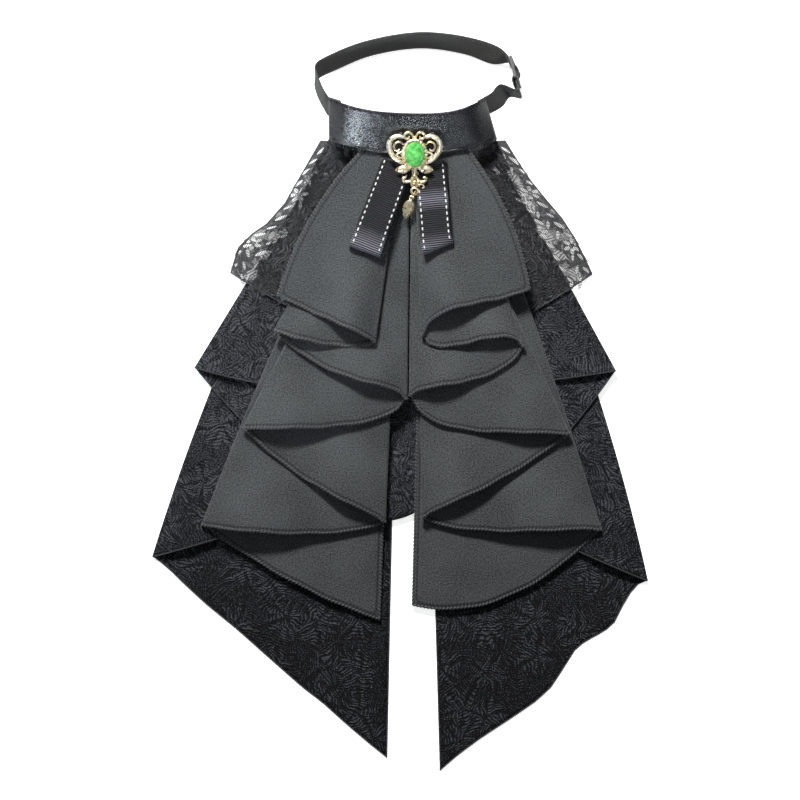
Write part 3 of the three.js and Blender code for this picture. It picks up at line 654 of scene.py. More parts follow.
CHIFFON = woven_material("chiffon_cloth", (0.003, 0.0038, 0.004), (0.09, 0.099, 0.1), 0.55)
# The hem's cord has shade painted between its wraps.
HEM = thread_material("hem_thread", (0.003, 0.0035, 0.004), (0.1, 0.106, 0.108), wrapped=True)
LACE_TONES = (0.001, 0.0011, 0.0016), (0.088, 0.093, 0.108)
LACE = lace_material("lace_dense", *LACE_TONES, tail=0.115)
CENTRE_LACE = lace_material("lace_centre_net", *LACE_TONES)
SHEER = lace_material("lace_sheer", (0.008, 0.008, 0.009), (0.1, 0.1, 0.105), sheer=0.55)
LACE_EDGE = thread_material("lace_edge_thread", (0.006, 0.006, 0.008), (0.05, 0.05, 0.056))
SATIN = grained_material("collar_satin", (0.002, 0.0022, 0.003), (0.014, 0.015, 0.018), 0.22)
ELASTIC = ribbed_material("strap_elastic", (0.004,) * 3, (0.085, 0.086, 0.08), 0.7, "Y")
# Each ribbon's bands of painted highlight, as middle and half width along the loop, in mm.
GROSGRAIN = {
    name: ribbed_material(f"ribbon_grosgrain_{name}", (0.002, 0.002, 0.003),
                          (0.02, 0.0195, 0.023), 1.25, "X", bands)
    for name, bands in (("left", ((51, 11),)), ("right", ((50, 10), (21, 7))))
}
WHITE_THREAD = thread_material("white_thread", (0.6, 0.6, 0.58), (0.95, 0.95, 0.93))
GOLD = gold_material("cast_gold", (0.88, 0.71, 0.4), (0.98, 0.9, 0.68))
CRYSTAL = fine_material("clear_crystal", 900, 1, (0.35, 0.65, (0.62, 0.66, 0.7), (1, 0.99, 0.95)),
                        (0.04, 0.12), Transmission_Weight=0.25, IOR=1.7)
# The stone's faint green emission is painted light: a glow standing in for light coming back out
# through the stone.
STONE = fine_material("green_stone", 420, 3, (0.3, 0.75, (0.012, 0.25, 0.025), (0.22, 0.7, 0.19)),
                      (0.04, 0.1), Transmission_Weight=0.1, IOR=1.7,
                      Emission_Color=(0.04, 0.6, 0.05, 1), Emission_Strength=0.07)
PLASTIC = fine_material("slider_plastic", 1500, 2,
                        (0.3, 0.7, (0.006, 0.006, 0.007), (0.02, 0.02, 0.022)),
                        (0.4, 0.5), relief=0.0001, Specular_IOR_Level=0.25)


def belongs(piece, slot, *nodes):
    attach(piece, "root")
    if nodes:
        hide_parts(*nodes)
    return piece


# Chiffon. A cord is the width, height and pitch of an overlocked edge.
CHIFFON_CORD, TIER_CORD, LEAF_CORD = (1.5, 1.0, 2.1), (0.9, 0.6, 1.1), (0.8, 0.6, 1.1)


def free_border(grid):
    """The sheet's free edge: down its first column, along its hem and up its last column."""
    first, hem, last = grid[1:, 0], grid[-1, 1:-1], grid[:0:-1, -1]
    inward = np.vstack([grid[1:, 1] - first, grid[-2, 1:-1] - hem, grid[:0:-1, -2] - last])
    return np.vstack([first, hem, last]), unit(inward)


def serged_edge(name, grid, cord, material):
    """Overlocked edge: a flat cord of slanting thread wraps, turned over the sheet's free edge."""
    width, height, pitch = cord
    at, both = resample(np.hstack(free_border(grid)), pitch / 4)
    path, inward = both[:, :3], both[:, 3:]
    ahead = unit(np.gradient(path, axis=0))
    lift = unit(np.cross(ahead, inward))
    side = np.cross(lift, ahead)
    angle = around(8)
    wrap = 1 + 0.4 * np.sin(2 * math.pi * at[:, None] / pitch + angle)
    out = width * 0.42 + width / 2 * np.cos(angle) * wrap
    up = height / 2 * np.sin(angle) * wrap
    ring = path[:, None] + side[:, None] * out[..., None] + lift[:, None] * up[..., None]
    turns = at[:, None] / pitch + angle / (2 * math.pi)
    uvs = np.dstack([turns, np.broadcast_to(angle, turns.shape)])
    faces = grid_faces(len(path), len(angle), wrap=True)
    return mesh_object(name, ring, faces, uvs, material=material)


# Shape of each panel's hem, in mm: how far it sags in the middle, how far it drops beside the fold
# it comes from and rises beside the fold it runs into, and how far it lifts off the cloth there.
CHIFFON_HEMS = {
    -1: [(0.5, 0, 4, 6.5), (3.2, 6, 0, 3.5), (8.5, 0, 20, 6.5), (3.5, 22, 0, 7.5), (5.6, 4, 7, 5.0),
         (4.0, 9, 0, 8.0), (5.0, 0, 0, 1.0)],
    1: [(0, 0, 28, 9.0), (0, 20, 18, 5.5), (4.5, 17, 10, 6.0), (3.5, 34, 0, 4.5), (4.5, 0, 8, 6.0),
        (3.5, 9, 6, 6.5), (17.0, 0, 0, 1.0)],
}
LIFT_FROM = (0.4, 0.78, 0.8, 0.75, 0.78, 0.78, 0.8)


def beside_fold(s):
    """Rises from nothing, steepens towards a fold at 1 and turns round into it."""
    return s ** 2 * math.sqrt(max(0.0, 1 - s))


def chiffon_hem(side):
    def hem(i, s):
        sag, start, end, lift = CHIFFON_HEMS[side][i]
        wobble = 0.35 * math.sin(math.pi * s) * math.sin(23 * s + 3 * i + side)
        return sag * 4 * s * (1 - s) + start * beside_fold(1 - s) - end * beside_fold(s) + wobble
    return hem


def chiffon_ripple(side):
    def ripple(i, s, v):
        edge = math.sin(math.pi * s) ** 0.8
        slow = np.sin(2.6 * math.pi * s + 1.7 * i + 2.2 * v + side)
        quick = np.sin(9 * s + 14 * v + 2.3 * i) * 0.3
        lift = CHIFFON_HEMS[side][i][3] * math.sin(math.pi * s ** 2.2) ** 1.3
        tube = 0.0
        if i == 2:
            tube = 1.1 * math.sin(math.pi * s) * np.sin(7 * math.pi * s ** 2) * v * (1 - v)
        ripples = edge * v ** 2 * 0.35 * (slow + quick)
        return ripples + lift * smooth_step(v, LIFT_FROM[i], 1.0) + tube
    return ripple


for side, word in SIDE_NAMES.items():
    heights = [lambda x, y, level=6 - i: chiffon_height(level, y) for i in range(7)]
    panels = panels_from(CHIFFON_TABLE[side], CHIFFON_SPREAD, CHIFFON_DROP, side, heights)
    grid = folded_grid(panels, *CHIFFON_GRID, CHIFFON_CLOTH / 2,
                       chiffon_ripple(side), chiffon_hem(side))
    sheet = cloth_object(f"chiffon_cascade_{word}", grid, CHIFFON_CLOTH, CHIFFON,
                         panel_coordinates(grid, *CHIFFON_GRID[1:]))
    add_coordinates(sheet.data, "edge", edge_coordinates(grid))
    belongs(sheet, "chiffon", f"chiffon_{word}")
    hem = belongs(serged_edge(f"chiffon_hem_{word}", grid, CHIFFON_CORD, HEM), "chiffon")

# Lace
LACE_LIFT = (2.4, 0, 3.4, 0)
# The tail's lower edge: how far it hangs below a straight line, in mm, by share across.
TAIL_EDGE = {
    -1: ([0, 0.06, 0.12, 0.22, 0.36, 0.5, 0.64, 0.72, 0.83, 0.93, 1],
         [0, -0.8, 0.3, 1.2, 0.4, 1.0, 1.4, 0.2, 0.8, 0.6, 0]),
    1: ([0, 0.05, 0.1, 0.15, 0.2, 0.3, 0.35, 0.4, 0.46, 0.53, 0.64, 0.8, 0.91, 1],
        [0, -3.0, 0, 7, 7, 2.5, 2.2, 6.6, 10.8, 11, 8, 3, 0.6, 0]),
}

for side, word in SIDE_NAMES.items():
    table = LACE_TABLE[side]
    heights = [lambda x, y, level=level: np.full_like(y, lace_height(level))
               for level in (3, 2, 1, 0)]
    panels = panels_from(table, LACE_SPREAD, LACE_DROP, side, heights)

    def settle(i, s, v, side=side):
        lift = LACE_LIFT[i] * math.sin(math.pi * s ** 3) * smooth_step(v, 0.8, 1.0)
        return math.sin(math.pi * s) * v ** 2 * 0.2 * np.sin(7 * s + 5 * v + i + side) + lift

    def hem(i, s, side=side, table=table):
        sag = table[i + 1][3] * LACE_DROP * 4 * s * (1 - s)
        return np.interp(s, *TAIL_EDGE[side]) if i == 3 else sag

    grid = folded_grid(panels, *LACE_GRID, LACE_CLOTH / 2, settle, hem)
    tiers = cloth_object(f"lace_tiers_{word}", grid, LACE_CLOTH, LACE,
                         panel_coordinates(grid, *LACE_GRID[1:]))
    add_coordinates(tiers.data, "edge", arc_lengths(grid))
    belongs(tiers, "lace", f"lace_cascade_{word}")
    edge = belongs(serged_edge(f"lace_tiers_edge_{word}", grid, TIER_CORD, LACE_EDGE), "lace")

STEM_PITCH, STEP_PITCH, PETAL_REACH = 11, 7.5, 3.2
NET_PITCH, NET_THREAD = 0.85, 0.23
SOLID_BORDER = 0.4
LEAF_FALL, LEAF_FALL_FROM, LEAF_FALL_TO = 4, 1, 26


def lace_openings(length, width):
    """Leaf-shaped openings as rows of u, v, angle, half length and half width, in mm.

    Wavy stems run down the leaf with a pair of open leaves at each step, and rosettes of five or
    six open petals lie between the stems."""
    openings = []
    for stem in range(int(width / STEM_PITCH) + 1):
        wave = random.uniform(0, 6)
        for step in range(int(length / STEP_PITCH) + 1):
            v = 5 + STEP_PITCH * step + 2 * (stem % 2)
            u = STEM_PITCH * (stem + 0.5) + 1.8 * math.sin(v / 9 + wave)
            if (step + 2 * stem) % 5 == 4:
                start = random.uniform(0, 2 * math.pi)
                petals = random.choice((5, 6))
                for k in range(petals):
                    angle = start + 2 * math.pi * k / petals
                    openings.append((u + PETAL_REACH * math.cos(angle),
                                     v + PETAL_REACH * math.sin(angle), angle, 2.3, 1.15))
                continue
            for turn in (-1, 1):
                angle = math.pi / 2 + turn * random.uniform(0.45, 0.75)
                half = random.uniform(2.6, 4.4)
                openings.append((u - turn * 2.7, v + 1.2 * turn, angle, half, half * 0.3))
    return openings


def net_bars(name, grid, openings):
    """Fine threads across each opening."""
    uv = arc_lengths(grid)
    down, across = np.gradient(grid, axis=0), np.gradient(grid, axis=1)
    step_v, step_u = np.gradient(uv[..., 1], axis=0), np.gradient(uv[..., 0], axis=1)
    bars = Parts()
    for u, v, angle, half_length, half_width in openings:
        r, c = np.unravel_index(((uv - (u, v)) ** 2).sum(2).argmin(), uv.shape[:2])
        if np.abs(uv[r, c] - (u, v)).max() > 1.5:
            continue
        x_axis, y_axis = across[r, c] / step_u[r, c], down[r, c] / step_v[r, c]
        count = int(half_length / NET_PITCH)
        for k in range(-count, count + 1):
            along = k * NET_PITCH
            span = half_width * (1 - (along / half_length) ** 2) + 0.3
            ends = [((u - uv[r, c, 0]) + along * math.cos(angle) - sign * span * math.sin(angle),
                     (v - uv[r, c, 1]) + along * math.sin(angle) + sign * span * math.cos(angle))
                    for sign in (-1, 1)]
            bars.tube([grid[r, c] + x_axis * a + y_axis * b for a, b in ends], NET_THREAD, sides=4)
    return bars.object(name, LACE_EDGE)


def pierced_object(name, grid, thickness, material, openings):
    """The sheet with leaf-shaped openings cut through, edges following each opening."""
    uv = arc_lengths(grid)
    field = np.full(grid.shape[:2], 9.0)
    for u, v, angle, half_length, half_width in openings:
        x, y = uv[..., 0] - u, uv[..., 1] - v
        along = (x * math.cos(angle) + y * math.sin(angle)) / half_length
        across = np.abs(-x * math.sin(angle) + y * math.cos(angle)) / half_width
        field = np.minimum(field, across - (1 - along ** 2))
    for border in (field, field.T):
        border[[0, 1, -2, -1]] = np.maximum(border[[0, 1, -2, -1]], SOLID_BORDER)
    points, uvs, index, faces = [], [], {}, []

    def vertex(key, a, b, t):
        if key not in index:
            index[key] = len(points)
            points.append(grid[a] + (grid[b] - grid[a]) * t)
            uvs.append(uv[a] + (uv[b] - uv[a]) * t)
        return index[key]

    for r in range(grid.shape[0] - 1):
        for c in range(grid.shape[1] - 1):
            corners = [(r, c), (r + 1, c), (r + 1, c + 1), (r, c + 1)]
            face = []
            for a, b in zip(corners, corners[1:] + corners[:1]):
                if field[a] > 0:
                    face.append(vertex((a, a), a, a, 0))
                if (field[a] > 0) != (field[b] > 0):
                    low, high = min(a, b), max(a, b)
                    t = field[low] / (field[low] - field[high])
                    face.append(vertex((low, high), low, high, min(max(t, 0.08), 0.92)))
            if len(face) > 2:
                faces.append(tuple(face))
    piece = mesh_object(name, points, faces, uvs, material=material)
    return thicken(piece, thickness)


# How far each leaf's outer edge swings in or out on its way down, in mm.
YOKE_EDGE = {
    -1: ([0, 0.22, 0.45, 0.62, 0.72, 0.84, 1.0], [0, -1.5, -3.2, -1.2, 2.4, 4.6, 0.0]),
    1: ([0, 0.15, 0.3, 0.45, 0.6, 0.75, 0.9, 1.0], [0, -0.4, -0.2, 1.2, 3.0, 3.0, 1.4, 0.0]),
}

for side, word in SIDE_NAMES.items():
    outer, inner = fold_lines(YOKE_TABLE[side], LACE_SPREAD, LACE_DROP, side)
    fold = fold_lines(LACE_TABLE[side], LACE_SPREAD, LACE_DROP, side)[1]

    def leaf_height(x, y, fold=fold, side=side):
        beyond = side * (x - line_x_at(fold, y))
        return lace_height(4) - LEAF_FALL * smooth_step(beyond, LEAF_FALL_FROM, LEAF_FALL_TO)

    panels = panels_from(YOKE_TABLE[side], LACE_SPREAD, LACE_DROP, side, [leaf_height])
    grid = folded_grid(panels, *LEAF_GRID, LACE_CLOTH / 2)
    v, s = (np.linspace(0, 1, count) for count in grid.shape[:2])
    swing = np.interp(v, *YOKE_EDGE[side])[:, None] * (1 - s)[None, :] ** 2
    normal = line_normal(outer) * (1 if side * line_normal(outer)[0] > 0 else -1)
    grid[..., :2] += swing[..., None] * normal
    openings = lace_openings(np.linalg.norm(outer[1] - outer[0]),
                             np.linalg.norm(inner[1] - outer[1]))
    leaf = pierced_object(f"lace_leaf_{word}", grid, LACE_CLOTH, SHEER, openings)
    belongs(leaf, "lace", f"lace_yoke_{word}")
    edge = belongs(serged_edge(f"lace_leaf_edge_{word}", grid, LEAF_CORD, LACE_EDGE), "lace")
    net = belongs(net_bars(f"lace_leaf_net_{word}", grid, openings), "lace")

panels = panels_from(CENTRE_TABLE, LACE_SPREAD, LACE_DROP, 1,
                     [lambda x, y: lace_pile_height(y) - LAYER])
grid = folded_grid(panels, *CENTRE_GRID, LACE_CLOTH / 2)
centre = cloth_object("lace_middle", grid, LACE_CLOTH, CENTRE_LACE)
belongs(centre, "lace", "lace_centre")


# Collar
def collar_point(share, up, out):
    """Middle of the band at a share along it and a share up it, moved out from its face."""
    x = share * COLLAR_HALF
    reach = COLLAR_TOP_REACH + COLLAR_TOP_RISE * share ** 2 - seam_y(x)
    stand = COLLAR_STAND - COLLAR_STAND_LOSS * share ** 2
    height = math.hypot(reach, stand)
    beyond = max(0.0, abs(share) - COLLAR_LEVEL_SHARE) / (1 - COLLAR_LEVEL_SHARE)
    seat = chiffon_height(6, 0.0) + 0.5 + CLEARANCE - 5 * beyond ** 2
    foot = np.array([x - 7 * up * max(0.0, share) ** 3, seam_y(x), seat + COLLAR_THICK / 2])
    rise, normal = np.array([0, reach, stand]) / height, np.array([0, -stand, reach]) / height
    return foot + rise * up * height + normal * out, normal, rise


def band_object(name, stations, material):
    """A flat band from rings of (middle, offset) columns, with rounded edges and closed ends."""
    rings, uvs, run = [], [], 0.0
    previous = stations[0][0].mean(0)
    for middles, offsets in stations:
        share = np.linspace(-1, 1, len(middles))
        swell = np.sqrt(np.maximum(0, 1 - np.abs(share) ** 8)) * 0.85 + 0.15
        front = middles + offsets * swell[:, None]
        back = middles - offsets * swell[:, None]
        rings.append(np.vstack([front, back[::-1]]))
        centre = middles.mean(0)
        run += np.linalg.norm(centre - previous)
        previous = centre
        across = distances(middles)
        across = np.concatenate([across, across[::-1]])
        uvs.append(np.column_stack([np.full(len(across), run), across]))
    sides = len(rings[0])
    faces = grid_faces(len(rings), sides, wrap=True) + end_faces(len(rings), sides)
    return mesh_object(name, np.concatenate(rings), faces, np.concatenate(uvs), material=material)


BAND_HALF = 0.85
stations = []
for share in np.linspace(-1, 1, 121):
    middles, offsets = [], []
    for up in np.linspace(0, 1, 22):
        crease = 0.22 * math.sin(31 * share + 2) * math.exp(-5 * up)
        bow = 0.9 * math.cos(5.2 * share + 0.4 * up)
        middle, normal, rise = collar_point(share, up, crease - bow)
        middles.append(middle)
        offsets.append(normal * BAND_HALF)
    stations.append((np.array(middles), np.array(offsets)))
belongs(band_object("collar_satin_band", stations, SATIN), "collar", "collar_band")

binding = Parts()
path = [collar_point(share, 0.02, 1.0)[0] for share in np.linspace(-0.97, 0.97, 90)]
binding.tube(path, 0.75, sides=10, squash=0.7)
belongs(binding.object("collar_binding", SATIN), "collar")

# Neck strap
NECK_HALF, NECK_REACH = 57.0, 70.0
STRAP_WIDTH, STRAP_THICK, STRAP_LAP = 12.0, 1.2, 7.0
SLIDER_THICK, SLIDER_RAIL, SLIDER_SLOT = 1.6, 1.5, 4.6
STRAP_RUN = [
    (-0.912, 0.393, 1.02, 0.23, 0.5), (-0.965, 0.486, 0.62, 0.23, 0.42),
    (-0.986, 0.569, 0.3, 0.12, 0.52), (-0.944, 0.623, 0.06, -0.15, 0.66),
    (-0.772, 0.693, 0, -0.19, 0.73), (-0.439, 0.804, 0, -0.12, 0.7),
    (0.08, 0.87, 0, -0.03, 0.73), (0.526, 0.821, 0, 0.12, 0.78), (0.807, 0.741, 0.02, 0.2, 0.8),
]
END_RUN = [(0.895, 0.381, 1.08, -0.54, 0.62), (0.972, 0.46, 0.8, -0.5, 0.58)]
STRAP_SCALE = np.array([NECK_HALF, NECK_REACH, STRAP_WIDTH])
STRAP_REST = 0.15
LAPS = (STRAP_LAP, STRAP_LAP / 2, 0)


def leaning(x, y):
    """The upward unit vector with these sideways parts."""
    return np.array([x, y, math.sqrt(1 - x ** 2 - y ** 2)])


def strap_station(row):
    """Lower and upper edge, from the lower edge's place and the strap's lean."""
    lower = row[:3] * STRAP_SCALE + [0, 0, STRAP_THICK / 2 + STRAP_REST]
    return np.array([lower, lower + leaning(*row[3:]) * STRAP_WIDTH])


def lap_station(share):
    out = -(COLLAR_THICK + STRAP_THICK) / 2 - 1.5 * CLEARANCE
    middle, normal, rise = collar_point(share, 1, out)
    return np.array([middle - rise * STRAP_WIDTH, middle])


# The slider's directions: across the strap, along the strap and out of its face
wide = leaning(-0.2, 0.35)
heading = np.array([-0.2, 0.95])
heading = unit(np.append(heading, -heading @ wide[:2] / wide[2]))
outward = unit(np.cross(heading, wide))
slider_lower = (1.044, 0.636, 0.44) * STRAP_SCALE
PITCH = SLIDER_RAIL + SLIDER_SLOT
WEAVE = (SLIDER_THICK + STRAP_THICK) / 2 + 1.7 * CLEARANCE


def slider_station(ahead, out):
    edge = slider_lower + heading * ahead + outward * out
    return np.array([edge, edge + wide * STRAP_WIDTH])


def strap_object(name, ends, count):
    """A woven elastic band through stations of lower and upper edge."""
    edges = np.hstack([curve_points([end[k] for end in ends], 16) for k in (0, 1)])
    pick = np.linspace(0, len(edges) - 1, count)
    edges = np.column_stack([np.interp(pick, np.arange(len(edges)), column) for column in edges.T])
    lower, upper = edges[:, :3], edges[:, 3:]
    forward = np.gradient((lower + upper) / 2, axis=0)
    offset = unit(np.cross(forward, upper - lower)) * STRAP_THICK * 0.45
    share = np.linspace(0, 1, 9)[:, None]
    stations = [(lower[i] + (upper[i] - lower[i]) * share, np.tile(offset[i], (9, 1)))
                for i in range(count)]
    return band_object(name, stations, ELASTIC)


run = [lap_station(-1 + lap / COLLAR_HALF) for lap in LAPS]
run += [strap_station(row) for row in STRAP_RUN]
run += [slider_station(ahead, out) for ahead, out in (
    (1.5 * PITCH, -WEAVE), (PITCH, -WEAVE), (PITCH / 2, 0), (0, WEAVE), (-PITCH / 2, 0),
    (-PITCH, -WEAVE), (-PITCH - STRAP_LAP / 2, -WEAVE))]
belongs(strap_object("strap_elastic_long", run, 300), "strap", "neck_strap")

over = STRAP_THICK + CLEARANCE - WEAVE
behind = PITCH + SLIDER_RAIL / 2 + CLEARANCE
run = [lap_station(1 - lap / COLLAR_HALF) for lap in LAPS]
run += [strap_station(row) for row in END_RUN]
run += [slider_station(-behind - lap, over) for lap in LAPS]
belongs(strap_object("strap_elastic_short", run, 110), "strap", "strap_end")

slider = bpy.data.objects.new("slider_moulded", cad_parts["strap_slider"].data.copy())
bpy.context.scene.collection.objects.link(slider)
slider.data.materials.clear()
slider.data.materials.append(PLASTIC)
rounding = slider.modifiers.new("rounding", "BEVEL")
rounding.width = 0.35 * MM
rounding.segments = 3
belongs(slider, "slider", "strap_slider")

# Ribbons
# Corners of each loop, in mm: front top left and right, front bottom left and right, back top.
RIBBONS = {
    "left": {"top": [(-17.2, -2.9), (-0.8, -9.1)], "bottom": [(-36.6, -53.2), (-19.0, -59.8)],
             "back": [(-16.2, -2.9), (-0.8, -9.1)]},
    "right": {"top": [(0.8, -6.7), (18.2, -5.3)], "bottom": [(6.0, -58.4), (23.2, -51.4)],
              "back": [(3.2, -6.7), (19.5, -5.3)]},
}
RIBBON_CLOTH, FRONT_RISE = 0.55, 6.0
STITCH_ROWS, STITCH_PITCH = (1.4, 14.6), 3.2


def ribbon_loop(name, corners):
    top, bottom, back = ([np.array(p, float) for p in corners[key]]
                         for key in ("top", "bottom", "back"))

    def back_height(x, y):
        return chiffon_height(7, y)

    def front_height(x, y):
        down = np.clip((-y - 6) / 51, 0, 1)
        return back_height(x, y) + LAYER + (FRONT_RISE - LAYER) * np.sqrt(down)

    panels = [
        {"from": (*top, 0), "to": (*bottom, 0), "height": front_height, "bow": 0},
        {"from": (*bottom, 0), "to": (*back, 0), "height": back_height, "bow": 0},
    ]
    grid = folded_grid(panels, *RIBBON_GRID, 0.25)
    ribbon = cloth_object(f"ribbon_loop_{name}", grid, RIBBON_CLOTH, GROSGRAIN[name])
    belongs(ribbon, "ribbon", f"ribbon_{name}")
    stitches = Parts()
    for row in STITCH_ROWS:
        low = int(row)
        line = grid[low] + (grid[low + 1] - grid[low]) * (row - low)
        _, line = resample(line[:sum(RIBBON_GRID[1:])], STITCH_PITCH)
        for a, b in zip(line, line[1:]):
            ahead = (b - a) / np.linalg.norm(b - a)
            middle = (a + b) / 2 + np.array([0, 0, 0.28])
            along = np.linspace(-1, 1, 7)
            size = 0.42 * np.sqrt(np.maximum(0.02, 1 - along ** 4))
            stitches.tube(middle + ahead * along[:, None], size, sides=7, squash=0.7)
    thread = belongs(stitches.object(f"ribbon_stitches_{name}", WHITE_THREAD), "ribbon")


for name, corners in RIBBONS.items():
    ribbon_loop(name, corners)

# Brooch
STONE_WIDTH, STONE_LENGTH, STONE_HEIGHT = 11.0, 14.2, 4.2
PLATE = 1.6
LEAN = math.radians(8)
BROOCH_X, BROOCH_Y = 0.8, -1.0


def brooch_height():
    reach = 0.95 * STONE_LENGTH
    middle, normal, rise = collar_point(BROOCH_X / COLLAR_HALF, 0.5, COLLAR_THICK / 2 + CLEARANCE)
    contact = BROOCH_Y + reach * math.cos(LEAN)
    return middle[2] - (contact - middle[1]) * normal[1] / normal[2] - reach * math.sin(LEAN)


BROOCH = Matrix.Translation((BROOCH_X, BROOCH_Y, brooch_height())) @ Matrix.Rotation(LEAN, 4, "X")


def flat_curve(points, z, steps=8):
    points = curve_points(points, steps)
    return np.column_stack([points, np.full(len(points), z)])


def ellipse(width, length, z, count, y=0.0, turn=0.0):
    angle = around(count) + turn
    return np.column_stack([width / 2 * np.cos(angle), y + length / 2 * np.sin(angle),
                            np.full(count, z)])


def taper(count, thin=0.45):
    share = np.linspace(-1, 1, count)
    return thin + (1 - thin) * np.sqrt(np.maximum(0, 1 - share ** 2))


def gem(parts, x, y, z, radius):
    """A small cut crystal: girdle, crown and table."""
    parts.rings([
        ellipse(2 * radius * share, 2 * radius * share, z + height * radius, 8, y, turn) + [x, 0, 0]
        for share, height, turn in ((0.75, 0, 0), (1, 0.3, 0), (0.55, 0.75, math.pi / 8))
    ])


CRYSTAL_RADIUS = 0.72

# Curves of the setting's left half, in mm from the middle of the stone
WING =[(-6.0, 9.6), (-9.8, 10.2), (-13.2, 8.4), (-14.5, 4.6), (-13.2, 0.4), (-10.4, -2.9),
        (-6.2, -5.2)]
WING_SCROLLS = [
    [(-6.2, 5.2), (-8.6, 7.0), (-11.2, 5.8), (-11.5, 3.2), (-9.8, 1.8), (-8.4, 2.9)],
    [(-5.9, 1.2), (-8.6, 0.8), (-10.2, -0.6), (-8.6, -2.0), (-6.2, -2.4)],
]
CROWN_SCROLL = [(-0.6, 8.4), (-1.4, 11.2), (-3.4, 12.4), (-5.6, 11.2), (-5.4, 9.2), (-3.6, 8.8),
                (-3.0, 10.2)]
LOWER_SCROLL = [(0.0, -10.4), (-1.0, -13.2), (-3.4, -15.6), (-6.0, -15.4), (-6.4, -13.6),
                (-4.8, -13.2)]
STEM_SCROLL = [(-0.9, -13.4), (-1.6, -16.6), (-0.9, -18.6)]
SIDE_CURL = [(1.2, -18.4), (2.8, -17.2), (4.8, -17.6), (5.4, -18.8), (4.4, -19.4)]
LEAF = [(-2.4, -7.2), (-7.4, -6.2), (-11.0, -9.2), (-6.6, -11.2), (-2.6, -9.4)]


def mirrored(points, side):
    return [(-side * x, y) for x, y in points]


setting, crystals = Parts(), Parts()
for side in (-1, 1):
    band = flat_curve(mirrored(WING, side), PLATE * 0.55, 10)
    setting.tube(band, 1.45 * taper(len(band), 0.55), sides=10, squash=0.55)
    for x, y, z in band[3:-3:4]:
        gem(crystals, x, y, z + 0.62, CRYSTAL_RADIUS)
    for scroll in WING_SCROLLS:
        path = flat_curve(mirrored(scroll, side), PLATE * 0.45)
        setting.tube(path, 0.62 * taper(len(path)), squash=0.9)
    for scroll, size in ((CROWN_SCROLL, 0.7), (LOWER_SCROLL, 0.85), (STEM_SCROLL, 0.9)):
        path = flat_curve(mirrored(scroll, side), PLATE * 0.5)
        setting.tube(path, size * taper(len(path), 0.6), squash=0.85)
    ring = np.array(mirrored(LEAF, side))
    middle = ring.mean(0)
    outline = curve_points(ring, 6, closed=True)
    rings = [np.column_stack([middle + (outline - middle) * share, np.full(len(outline), z)])
             for share, z in ((0.9, 0.2), (1.0, 0.7), (0.75, 1.5), (0.15, 1.9))]
    setting.rings(rings)
setting.tube(flat_curve(SIDE_CURL, PLATE * 0.4), 0.45, squash=0.9)
for y, size in ((9.0, 1.25), (-10.4, 1.5), (-12.6, 1.2), (-16.2, 1.1)):
    setting.rings([ellipse(2 * size * math.cos(a), 2.4 * size * math.cos(a),
                           PLATE * 0.5 + math.sin(a) * size * 0.9, 12, y)
                   for a in np.linspace(-1.5, 1.5, 7)])

STEM_Y = -1.48 * STONE_LENGTH
setting.tube(ellipse(3.8, 3.8, 0.6, 24, y=STEM_Y), 0.62, sides=8, closed=True)
bezel = ellipse(STONE_WIDTH + 1.6, STONE_LENGTH + 1.6, PLATE + 0.3, 64)
setting.tube(bezel, 1.05, sides=10, closed=True)
setting.rings([ellipse(STONE_WIDTH, STONE_LENGTH, z, 48) for z in (0.2, 1.2)])
for angle in around(26):
    x, y = math.cos(angle) * (STONE_WIDTH / 2 + 0.7), math.sin(angle) * (STONE_LENGTH / 2 + 0.7)
    outwards = np.array([math.cos(angle), math.sin(angle), 0])
    claw = [np.array([x, y, PLATE + 1.2]) + outwards * reach + np.array([0, 0, lift])
            for reach, lift in ((1.5, -0.9), (0.7, 0.0), (-0.1, 0.5), (-0.8, 0.6))]
    setting.tube(claw, [0.3, 0.45, 0.42, 0.2], sides=6)
belongs(setting.move(BROOCH).object("brooch_setting", GOLD), "brooch_metal", "brooch_frame")
belongs(crystals.move(BROOCH).object("brooch_crystals", CRYSTAL, smooth=False), "stone")

# Cut stone: girdle, three rings of facets and a table, as share, height and half turn of a facet
FACETS = 16
profile = ((0.6, 0.0, 0), (1.0, 1.35, 0), (1.0, 1.7, 0), (0.84, 2.8, 1), (0.6, 3.7, 0),
           (0.34, 4.15, 1))
rings = [ellipse(STONE_WIDTH * share, STONE_LENGTH * share, PLATE + CLEARANCE + z, FACETS,
                 turn=half * math.pi / FACETS) for share, z, half in profile]
faces = []
for r in range(len(rings) - 1):
    ahead = profile[r + 1][2] >= profile[r][2]
    for c in range(FACETS):
        a, b = r * FACETS + c, r * FACETS + (c + 1) % FACETS
        p, q = a + FACETS, b + FACETS
        faces += [(a, b, p), (b, q, p)] if ahead else [(a, b, q), (a, q, p)]
faces += [face[::-1] for face in end_faces(len(rings), FACETS)]
cut = Parts()
cut.add(np.concatenate(rings), faces)
belongs(cut.move(BROOCH).object("brooch_gem", STONE, smooth=False), "stone", "brooch_stone")

# Link and drop
RING_RADIUS, RING_TURN, RING_WIRE = 2.2, -0.5, 0.35
turn = Matrix.Rotation(RING_TURN, 4, "Z")
hang = turn @ Vector((0, -RING_RADIUS, 0))
link_middle = hang + Vector((RING_RADIUS / 5, STEM_Y, 0.6))
link = Parts()
angle = around(32)
circle = np.column_stack([np.zeros(32), np.cos(angle), np.sin(angle)]) * RING_RADIUS
link.tube(circle, RING_WIRE, closed=True, up=(1, 0, 0))
link.move(BROOCH @ Matrix.Translation(link_middle) @ turn)
belongs(link.object("brooch_link", GOLD), "brooch_metal", "brooch_jump_ring")

